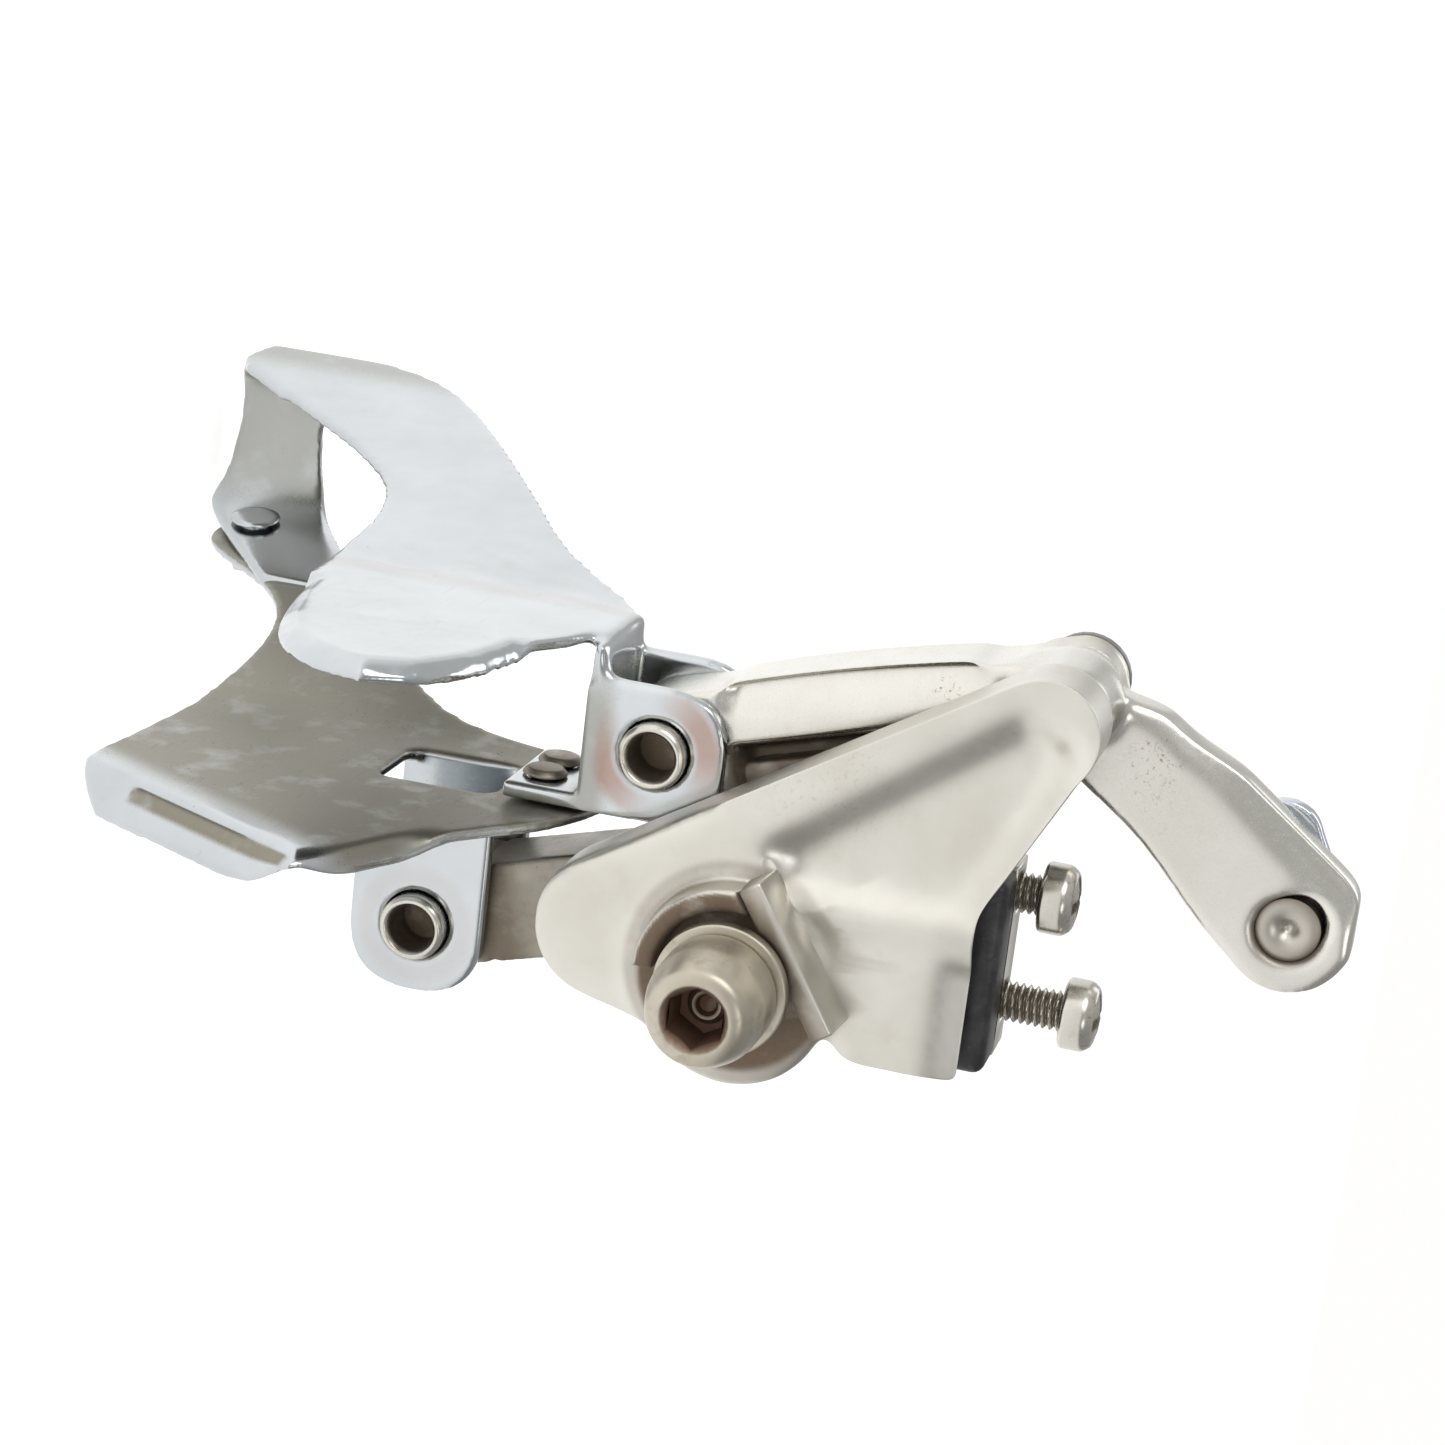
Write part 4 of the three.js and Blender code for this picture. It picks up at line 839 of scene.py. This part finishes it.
def tail_cutter():
    """The space between the two tails."""
    verts = []
    for z in (-80.0, -50.0):
        for x, y in ((-72, outer_y(-72) + 0.9), (-46.0, outer_y(-46.0) + 0.9),
                     (-46.0, inner_y(-46.0) + 0.75), (-72, inner_y(-72) + 0.75)):
            verts.append((x, y, z))
    return moved(put("tail_cutter", verts, ring_faces(4)), PIVOT_FRAME)


NEAR_RIM = [(-4, -37.6), (0, -37), (10, -34.5), (17, -31.5), (22, -27.5), (24.5, -23.5),
            (25, -21), (22, -16), (15, -13.4), (6, -12.2)]


def rim_distance(local, rim):
    """Distance in the XZ plane to a line of points."""
    flat = local[:, [0, 2]]
    nearest = np.full(len(flat), 1e9)
    for a, b in zip(np.array(rim, float), np.array(rim, float)[1:]):
        run = b - a
        t = np.clip((flat - a) @ run / (run @ run), 0, 1)
        nearest = np.minimum(nearest, np.linalg.norm(flat - a - t[:, None] * run, axis=1))
    return nearest


def cage_outer():
    """The outer plate with its bridge, ears, curled rim and tail strap."""
    obj = carve(copy_of("cage_outer_sheet", "cage_outer_plate"), tail_cutter())
    obj = merged("cage_outer_sheet", [obj, tail_saddle()])
    obj = relax(remeshed(welded(obj), SHEET_VOXEL), 3)
    co = points(obj)
    local = co - PIVOT_FRAME
    on_plate = 1 - step(-7.6, -6.6, local[:, 1] - tail_shift(local[:, 0], BEND_WAS))
    delta = tail_shift(local[:, 0], BEND_NOW) - tail_shift(local[:, 0], BEND_WAS)
    co[:, 1] += delta * on_plate
    curl = np.clip(RIM_WIDTH - rim_distance(local, NEAR_RIM), 0, RIM_WIDTH) / RIM_WIDTH
    co[:, 1] += RIM_CURL * curl ** 2 * on_plate
    set_points(obj, co)
    tail = 1 - step(-58, -45, local[:, 0])
    bend = step(-9.5, -7.0, local[:, 2]) * (1 - step(-6.6, -5.2, local[:, 1])) * step(
        -12, -8, local[:, 0])
    relax(obj, 60, np.clip(tail * 0.25 + bend, 0, 1))
    relax(obj, 14, on_plate * (1 - step(3.0, 9.0, np.abs(local[:, 0] - BEND_X))))
    relax(obj, 7, step(0.0, 0.4, curl) * on_plate)
    relax(obj, 3)
    co = points(obj)
    local = co - PIVOT_FRAME
    no = normals(obj)
    # painted red-brown reflection: a ring round the outer pin on the ear's face, in patches by
    # angle; and a faint red-brown streak just past the bend
    ring = near(co, P_CAGE_OUTER, 5.9, 1.0) * (1 - near(co, P_CAGE_OUTER, 3.7, 0.8))
    ear_face = step(0.5, 0.9, no[:, 0]) * step(-3.2, 0.2, local[:, 0] + 1.6)
    turn = np.arctan2(local[:, 2], local[:, 1])
    patch = np.clip(0.5 + 0.6 * np.cos(2 * (turn - math.radians(115))), 0, 1)
    streak = (1 - step(0.8, 3.2, np.abs(local[:, 0] - BEND_X - 3.0))) * on_plate_now(local)
    attribute(obj, "red_brown_tint", np.maximum(
        ring * ear_face * patch * step(-6.6, -4.8, local[:, 2]) * 0.7, 0.16 * streak))
    crease = (1 - step(0.6, 3.6, np.abs(local[:, 0] - BEND_X + 1.0))) * on_plate_now(local)
    attribute(obj, "pits", np.clip(crease * 2.2, 0, 1))
    # painted shade: in the fold where the plate turns into the bridge, over the tail, and on the
    # faces that look inboard into the cage
    fold = step(-9.5, -6.5, local[:, 2]) * (1 - step(-5.5, -3.5, local[:, 2]))
    shade = 1 - step(-63, -57, local[:, 0])
    inside = step(0.2, 0.8, no[:, 1]) * on_plate_now(local)
    rim = np.abs(rim_distance(local, NEAR_RIM) - 1.9)
    attribute(obj, "rust", (1 - step(0.1, 0.5, rim)) * on_plate_now(local) * 0.25)
    attribute(obj, "soil_and_shade", np.clip(0.55 * fold * step(-9, -3, local[:, 1]) + 0.5 * shade
                                   + 0.7 * inside, 0, 1))
    return smooth_shade(thinned(obj, KEPT_SHARE))


def on_plate_now(local):
    """1 on the outer plate as it is bent here, 0 on its bridge, ears and strap."""
    return 1 - step(-7.6, -6.6, local[:, 1] - tail_shift(local[:, 0], BEND_NOW))


finished(cage_outer(), "cage", "cage_chrome", "cage_outer_plate")

FRONT_EDGE = [(15.0, -51.0), (30.0, -24.5)]
FRONT_TOP = [(30.0, -24.5), (13.0, -16.0)]


def edge_distance(x, z, a, b):
    """Distance behind the XZ line from a to b, the share of the way along it, and the way back."""
    start, run, back = line_frame((a, b))
    d = (x - start[0]) * back[0] + (z - start[1]) * back[1]
    t = ((x - start[0]) * run[0] + (z - start[1]) * run[1]) / math.dist(a, b)
    return d, t, back


def turned_lip(co, local, edge, width, rise, ease, share):
    """Folds the sheet inboard along an edge; share says how fully along its length."""
    d, t, back = edge_distance(local[:, 0], local[:, 2], *edge)
    past = np.clip(width - d, 0, None)
    past = np.where(past < ease, past ** 2 / (2 * ease), past - ease / 2) * share(t)
    co[:, 1] += past * rise
    drop = past * (1 - math.sqrt(1 - rise ** 2))
    co[:, 0] += back[0] * drop
    co[:, 2] += back[1] * drop
    return d, t


def rounded_corner(local, edge, top, radius):
    """Pulls the corner between two edges of the sheet in to a rounded one."""
    corner = np.array(edge[1])
    ways = [-line_frame(line)[2] for line in (edge, top)]
    centre = np.linalg.solve(np.array(ways), np.array(
        [w @ corner - radius for w in ways]))
    flat = local[:, [0, 2]] - centre
    reach = np.linalg.norm(flat, axis=1)
    aim = flat / np.maximum(reach, 1e-6)[:, None]
    outward = np.stack([aim @ w for w in ways])
    wall = radius / np.maximum(outward.max(0), 0.2)
    turn = ways[0][0] * ways[1][1] - ways[0][1] * ways[1][0]
    inside = ((ways[0][0] * aim[:, 1] - ways[0][1] * aim[:, 0]) * turn > 0) & (
        (aim[:, 0] * ways[1][1] - aim[:, 1] * ways[1][0]) * turn > 0)
    scale = np.where(inside, radius / wall, 1.0)
    share = step(0.2, 0.8, reach / radius)
    out = local.copy()
    out[:, [0, 2]] = centre + flat * (1 + (scale - 1) * share)[:, None]
    return out


def cage_inner():
    """The inner plate with its turned and grooved lip."""
    obj = soft_copy("cage_inner_sheet", "cage_inner_plate", SHEET_VOXEL, 3)
    local = rounded_corner(points(obj) - PIVOT_FRAME, FRONT_EDGE, FRONT_TOP, CORNER_RADIUS)
    tip = 1 - step(-56.5, -51.0, local[:, 0])
    local[:, 2] += tip * (TAIL_MIDDLE - local[:, 2]) * 0.42
    local[:, 0] += tip * (-54.5 - local[:, 0]) * 0.45
    co = local + PIVOT_FRAME
    flat = np.abs(local[:, 1] - 8.4) < 3.0
    front = flat & (local[:, 0] > -4)
    part = co[front].copy()
    sub = local[front]
    d, t = turned_lip(part, sub, FRONT_EDGE, 4.6, 0.86, 1.4, lambda s: 1 - step(0.72, 1.06, s))
    along_groove = step(0.10, 0.14, t) * (1 - step(0.86, 0.9, t))
    groove = (1 - step(0.55, 1.0, np.abs(d - 2.3))) * along_groove
    part[:, 0] -= groove * 0.9
    # the groove's mask, painted dark further on as shade in the groove
    line = np.zeros(len(co))
    line[front] = groove
    turned_lip(part, sub, FRONT_TOP, 2.6, 0.8, 1.2, lambda s: 1 - step(0.75, 1.1, s))
    co[front] = part
    set_points(obj, co)
    local = points(obj) - PIVOT_FRAME
    tip = np.hypot(local[:, 0] - 28.0, local[:, 2] + 26.5)
    relax(obj, 40, 1 - step(4.0, 9.0, tip))
    relax(obj, 4)
    co = points(obj)
    local = co - PIVOT_FRAME
    no = normals(obj)
    outboard = step(0.1, 0.6, -no[:, 1])
    d, t, _ = edge_distance(local[:, 0], local[:, 2], *FRONT_EDGE)
    middle = step(4.5, 9.0, d) * outboard
    # grease on the middle of the outboard face, darker near the top of the plate above z -13, and
    # painted shade in the lip's groove
    attribute(obj, "soil_and_shade", np.clip(middle * 0.9 + 0.55 * step(-13, -8, local[:, 2])
                                   + line * 1.2, 0, 1))
    attribute(obj, "pits", np.clip(outboard * 0.8, 0, 1))
    ring = near(co, P_CAGE_INNER, 5.4, 1.0) * (1 - near(co, P_CAGE_INNER, 3.7, 0.8))
    attribute(obj, "red_brown_tint", ring * 0.12)
    return smooth_shade(thinned(obj, KEPT_SHARE))


finished(cage_inner(), "cage", "cage_chrome", "cage_inner_plate")


# ---- pins and fasteners ----------------------------------------------------------------

def pin_tube(name, node, radius, bore):
    """A hollow pin with a flared rim at each end."""
    low, high = span(node)
    centre = (low + high) / 2
    half = (high[0] - low[0]) / 2
    rim = [(-half + 0.5, bore), (-half, bore + 0.35), (-half, radius - 0.35),
           (-half + 0.35, radius), (half - 0.35, radius), (half, radius - 0.35),
           (half, bore + 0.35), (half - 0.5, bore), (half - 4.5, bore - 0.05)]
    wall = eased(rim, 0.3) + [(half - 4.5, 0.0)]
    back = [(-half + 4.5, 0.0), (-half + 4.5, bore - 0.05)]
    obj = rotated((1, 0, 0), lathe(name, back + wall))
    return moved(obj, centre)


def shade_in_bore(obj, centre, radius):
    """Paints a pin's bore darker, as shade in the hole."""
    co = points(obj)
    d = np.hypot(co[:, 1] - centre[0], co[:, 2] - centre[1])
    attribute(obj, "soil_and_shade", 1 - step(radius - 0.15, radius + 0.25, d))
    return obj


for pin_name, node, centre in (("cage_pin_outer", "pin_cage_outer", P_CAGE_OUTER),
                               ("cage_pin_inner", "pin_cage_inner", P_CAGE_INNER)):
    pin = smooth_shade(pin_tube(pin_name, node, CAGE_PIN_RADIUS, CAGE_PIN_BORE), 50)
    finished(shade_in_bore(pin, centre, CAGE_PIN_BORE + 0.05), "cage", "plain_steel", node)

for pin_name, node in (("body_pin_outer", "pin_body_outer"), ("body_pin_inner", "pin_body_inner")):
    low, high = span(node)
    middle = (low + high) / 2
    half = (high[0] - low[0]) / 2
    radius, groove, groove_end = BODY_PIN_RADIUS, 1.0 - half, 1.8 - half
    shape = eased([(-half, 0), (-half, radius - 0.5), (-half + 0.5, radius), (groove, radius)],
                  0.15)
    shape += [(groove, 2.15), (groove_end, 2.15), (groove_end, radius)]
    shape += eased([(groove_end + 0.1, radius), (half - 0.4, radius), (half, radius - 0.4),
                    (half, 0)], 0.15)
    stud = moved(rotated((1, 0, 0), lathe(pin_name, shape)), middle)
    finished(smooth_shade(stud, 40), "body", "plain_steel", node)


def trimmed_copy(name, node, width, angle=30):
    """A CAD node's own mesh with its edges eased by a bevel."""
    return smooth_shade(beveled(welded(copy_of(name, node)), width, 2, angle), 40)


for clip_name, node in (("pin_clip_outer", "clip_body_outer"),
                        ("pin_clip_inner", "clip_body_inner")):
    finished(trimmed_copy(clip_name, node, 0.12), "body", "spring_steel", node)



SPRING_WIRE, SPRING_TURNS = 1.5, 2
SPRING_MEAN = span("spring_bush")[1][1] - P_BODY_INNER[0] + 0.05 + SPRING_WIRE / 2
SPRING_OVERLAP = 1 / 12          # of a turn, on each half


def spring_half(name, forward):
    """One half of the spring. The halves overlap by a sixth of a turn, so that the forward one
    can swing with the inner link and leave no gap."""
    obj = soft_copy(name, "return_spring", WIRE_VOXEL, 5)
    co = points(obj) - 0.18 * normals(obj)
    set_points(obj, co)
    low, high = span("return_spring")
    front, back = high[0] - SPRING_WIRE / 2, low[0] + SPRING_WIRE / 2
    lean = unit(P_BODY_INNER - P_CAGE_INNER)
    start = math.atan2(-lean[1], -lean[0])
    away = co[:, 1:] - P_BODY_INNER
    angle = (start - np.arctan2(away[:, 1], away[:, 0])) / (2 * math.pi) % 1
    expected = SPRING_TURNS * (front - co[:, 0]) / (front - back)
    turns = angle + np.round(expected - angle)
    leg = np.linalg.norm(away, axis=1) > SPRING_MEAN + SPRING_WIRE * 0.7
    ahead = co[:, 0] > (front + back) / 2
    turns = np.where(leg, np.where(ahead, 0.0, SPRING_TURNS), turns)
    keep = turns < 1 + SPRING_OVERLAP if forward else turns > 1 - SPRING_OVERLAP
    bm = bmesh.new()
    bm.from_mesh(obj.data)
    bm.verts.ensure_lookup_table()
    bmesh.ops.delete(bm, geom=[v for v, kept in zip(bm.verts, keep) if not kept], context="VERTS")
    bmesh.ops.holes_fill(bm, edges=[e for e in bm.edges if e.is_boundary], sides=0)
    bm.to_mesh(obj.data)
    bm.free()
    return smooth_shade(obj)


finished(spring_half("spring_coil", False), "body", "spring_steel", "return_spring")
finished(spring_half("spring_coil_front", True), "inner_arm", "spring_steel")
finished(trimmed_copy("spring_sleeve", "spring_bush", 0.1), "body", "black_plastic", "spring_bush")


def limit_screw(name, node):
    low, high = span(node)
    centre = (low + high) / 2
    length = high[2] - low[2]
    head = 3.4
    radius, core = 1.95, 0.42
    thread = threaded("thread", radius, 0.7, core, 0.0, length - head + 0.4)
    shape = eased([(length - head, 0), (length - head, 3.15), (length - head + 0.3, 3.4),
                   (length - 1.1, 3.4), (length - 0.3, 2.8), (length, 1.4), (length, 0)], 0.35)
    cap = lathe("cap", shape, 64)
    slots = [block("slot", (-2.35, -0.42, length - 1.7), (2.35, 0.42, length + 1)),
             block("slot", (-0.42, -2.35, length - 1.7), (0.42, 2.35, length + 1))]
    cap = carve(cap, *slots)
    cap = beveled(cap, 0.12, 2, 40)
    obj = merged(name, [thread, cap])
    co = points(obj)
    # painted shade in the cross slots and on the thread under the head
    slot = (np.minimum(np.abs(co[:, 0]), np.abs(co[:, 1])) < 0.6) & (co[:, 2] > length - 1.9)
    soil_and_shade = slot * (np.hypot(co[:, 0], co[:, 1]) < 2.6) * 0.9
    root = (co[:, 2] < length - head) * (np.hypot(co[:, 0], co[:, 1]) < radius - 0.2) * 0.75
    attribute(obj, "soil_and_shade", np.clip(soil_and_shade + root, 0, 1))
    attribute(obj, "rust", 0.5 * step(length - 1.6, length - 0.6, co[:, 2]))
    moved(obj, (centre[0], centre[1], low[2]))
    return smooth_shade(obj, 35)


for stop in ("low", "high"):
    node = stop + "_limit_screw"
    finished(limit_screw("limit_screw_" + stop, node), stop + "_screw", "plain_steel", node)


def mounting_bolt():
    low, high = span("mount_bolt")
    head_from = span("mount_washer")[1][0] + 0.15
    top = high[0]
    shank = rotated((1, 0, 0), threaded("shank", 2.5, 0.8, 0.45, low[0], head_from + 0.5))
    shape = eased([(head_from, 0), (head_from, 5.35), (head_from + 0.4, 5.6),
                   (head_from + 4.6, 5.55), (top - 1.6, 5.05), (top - 0.4, 4.5), (top, 3.6),
                   (top, 0)], 0.5)
    cap = lathe("cap", shape, 96)
    depth = 4.9
    socket = prism("socket", 6, 5.0 / math.sqrt(3), top - depth, top + 1, math.pi / 6)
    chamfer = lathe("chamfer", [(top - 0.75, 0), (top - 0.75, 2.5), (top + 0.3, 3.45),
                                (top + 0.3, 0)])
    cap = carve(cap, socket, chamfer)
    cap = beveled(cap, 0.1, 2, 35)
    cone = lathe("cone", [(top - depth - 0.6, 1.9), (top - depth + 0.05, 1.9),
                          (top - depth + 0.55, 1.35), (top - depth + 0.5, 1.05),
                          (top - depth - 0.4, 0.55), (top - depth - 0.4, 0.0)], 48)
    obj = merged("mounting_bolt", [shank, rotated((1, 0, 0), merged("head", [cap, cone]))])
    co = points(obj)
    radius = np.hypot(co[:, 1], co[:, 2])
    # painted shade: the socket's inside is darkened and tinted red-brown, with a lighter ring left
    # on the cone at its bottom
    inside = (1 - step(2.9, 3.35, radius)) * step(head_from + 1, head_from + 2, co[:, 0])
    ring = np.exp(-((radius - 1.5) / 0.35) ** 2) * (co[:, 0] < top - depth + 0.8)
    attribute(obj, "soil_and_shade", np.clip(inside * (1 - 0.8 * ring), 0, 1))
    attribute(obj, "red_brown_tint", np.clip(inside * 0.35 * (1 - ring), 0, 1))
    return smooth_shade(obj, 38)


finished(mounting_bolt(), "mounting_bolt", "bolt_steel", "mount_bolt")


def ring_washer():
    low, high = span("mount_washer")
    outer = (high[1] - low[1]) / 2
    shape = eased([(low[0], 2.8), (low[0], outer), (high[0], outer), (high[0], 2.8),
                   (low[0], 2.8)], 0.22)
    return smooth_shade(rotated((1, 0, 0), lathe("bolt_washer", shape, 80)), 40)


finished(ring_washer(), "mounting_bolt", "bolt_steel", "mount_washer")


for rivet_name, node in (("bridge_stud_1", "bridge_rivet_1"), ("bridge_stud_2", "bridge_rivet_2")):
    stud = trimmed_copy(rivet_name, node, 0.15)
    # evenly darker all over
    attribute(stud, "soil_and_shade", np.full(len(stud.data.vertices), 0.7))
    finished(stud, "cage", "plain_steel", node)
finished(trimmed_copy("tail_nut", "cage_tail_nut", 0.18), "cage", "plain_steel", "cage_tail_nut")


def tail_screw():
    """A low screw whose head lies almost flush with the strap."""
    obj = trimmed_copy("tail_screw", "cage_tail_screw", 0.18)
    co = points(obj)
    way = np.array([TAIL_SLOPE, -1.0, 0.0]) / math.hypot(TAIL_SLOPE, 1.0)
    reach = co @ -way
    top = reach.min()
    head = reach < top + 1.45
    co[head] += -way * ((top + 1.45 - reach[head]) * 0.72)[:, None]
    set_points(obj, co)
    return smooth_shade(obj, 40)


finished(tail_screw(), "cage", "cage_chrome", "cage_tail_screw")


def anchor_bolt():
    low, high = span("cable_anchor_bolt")
    centre = (low + high) / 2
    under = span("cable_clamp")[0][0] - 0.15
    front = high[0]
    shape = [(front - 1.5, 0.0), (front - 0.75, 0.55), (front - 0.15, 1.35), (front, 2.45),
             (front - 0.25, 3.05), (under - 0.1, 3.15), (under - 0.1, 0)]
    pin = lathe("pin", shape[::-1], 64)
    hexagon = beveled(prism("hexagon", 6, 4.6, low[0], under), 0.35, 3)
    obj = rotated((1, 0, 0), merged("anchor_bolt", [pin, hexagon]))
    moved(obj, (0, centre[1], centre[2]))
    co = points(obj)
    radius = np.hypot(co[:, 1] - centre[1], co[:, 2] - centre[2])
    near_front = step(front - 2, front - 0.5, co[:, 0])
    # a little darker all over, and more so round the rim of the head's front
    attribute(obj, "soil_and_shade", 0.3 + 0.5 * step(2.3, 2.8, radius) * near_front)
    return smooth_shade(obj, 40)


finished(anchor_bolt(), "cable_anchor", "plain_steel", "cable_anchor_bolt")
finished(smooth_shade(soft_copy("cable_clamp_plate", "cable_clamp", WIRE_VOXEL, 5)), "cable_anchor",
         "clamp_chrome", "cable_clamp")


# ---- floor, light and camera -----------------------------------------------------------

def stage_floor():
    centre = (CAD_LOW + CAD_HIGH) / 2
    size = 6.0
    z = CAD_LOW.z - 0.0004
    mesh = bpy.data.meshes.new("floor")
    mesh.from_pydata([(centre.x + sx * size, centre.y + sy * size, z)
                      for sx, sy in ((-1, -1), (1, -1), (1, 1), (-1, 1))], [], [(0, 1, 2, 3)])
    obj = linked("floor", mesh)
    paint = Paint("floor_paint", Roughness=0.9, Emission_Strength=0.62)
    paint.shader.inputs["Base Color"].default_value = (0.88, 0.88, 0.88, 1)
    paint.shader.inputs["Emission Color"].default_value = (1, 1, 1, 1)
    mesh.materials.append(paint.mat)
    obj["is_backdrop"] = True


def area_light(name, at, aim, size, power, colour=(1, 1, 1)):
    data = bpy.data.lights.new(name, "AREA")
    data.shape = "DISK"
    data.size = size
    data.energy = power
    data.color = colour
    lamp = linked(name, data)
    lamp.location = Vector(at)
    lamp.rotation_mode = "QUATERNION"
    lamp.rotation_quaternion = (Vector(aim) - Vector(at)).to_track_quat("-Z", "Y")


def world_light():
    """Bright outboard and above, darker inboard and ahead, with a white horizon."""
    world = bpy.data.worlds.new("studio")
    SCENE.world = world
    world.use_nodes = True
    tree = world.node_tree
    back = tree.nodes["Background"]
    back.inputs["Color"].default_value = (1.0, 0.995, 0.985, 1.0)
    coord = tree.nodes.new("ShaderNodeTexCoord")
    split = tree.nodes.new("ShaderNodeSeparateXYZ")
    tree.links.new(coord.outputs["Generated"], split.inputs[0])

    def reach(axis, low, high, start, end):
        made = tree.nodes.new("ShaderNodeMapRange")
        made.interpolation_type = "SMOOTHSTEP"
        for name, value in (("From Min", low), ("From Max", high), ("To Min", start),
                            ("To Max", end)):
            made.inputs[name].default_value = value
        tree.links.new(split.outputs[axis], made.inputs["Value"])
        return made.outputs["Result"]

    def combined(operation, one, two):
        made = tree.nodes.new("ShaderNodeMath")
        made.operation = operation
        tree.links.new(one, made.inputs[0])
        tree.links.new(two, made.inputs[1])
        return made.outputs["Value"]

    glow = combined("MULTIPLY", reach("Y", -0.9, 0.9, WORLD_OUTBOARD, WORLD_INBOARD),
                    reach("X", -0.2, 1.0, 1.0, WORLD_AHEAD))
    horizon = combined("MULTIPLY", reach("Z", 0.10, 0.22, 1.0, 0.0),
                       reach("Z", -0.5, -0.4, 0.0, 1.0))
    tree.links.new(combined("MAXIMUM", glow, horizon), back.inputs["Strength"])


WORLD_OUTBOARD, WORLD_INBOARD, WORLD_AHEAD = 0.70, 0.36, 0.80
VIEW_BACK = Vector((0.9366, -0.2719, 0.2210))
VIEW_UP = Vector((-0.2350, -0.9552, -0.1796))
VIEW_DISTANCE = 0.320
VIEW_ANGLE = 23.94
AIM = Vector(tuple((PIVOT_FRAME + np.array([-2.39, -3.66, 5.62])) * MM))


def camera():
    data = bpy.data.cameras.new("camera")
    cam = linked("camera", data)
    back = VIEW_BACK.normalized()
    right = VIEW_UP.cross(back).normalized()
    up = back.cross(right)
    cam.rotation_mode = "QUATERNION"
    cam.rotation_quaternion = Matrix((right, up, back)).transposed().to_quaternion()
    cam.location = AIM + back * VIEW_DISTANCE
    data.sensor_width = 36
    data.lens = 18 / math.tan(math.radians(VIEW_ANGLE) / 2)
    data.clip_start, data.clip_end = 0.01, 50
    SCENE.camera = cam


stage_floor()
world_light()
area_light("key", (0.30, -0.50, 0.25), AIM, 0.45, 1.25, (1.0, 0.99, 0.97))
area_light("side", (0.55, 0.10, 0.45), AIM, 0.30, 0.45)
area_light("back", (-0.45, -0.15, 0.40), AIM, 0.35, 0.5, (0.96, 0.98, 1.0))
camera()
SCENE.view_settings.view_transform = "Standard"

bpy.context.view_layer.update()
low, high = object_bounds()
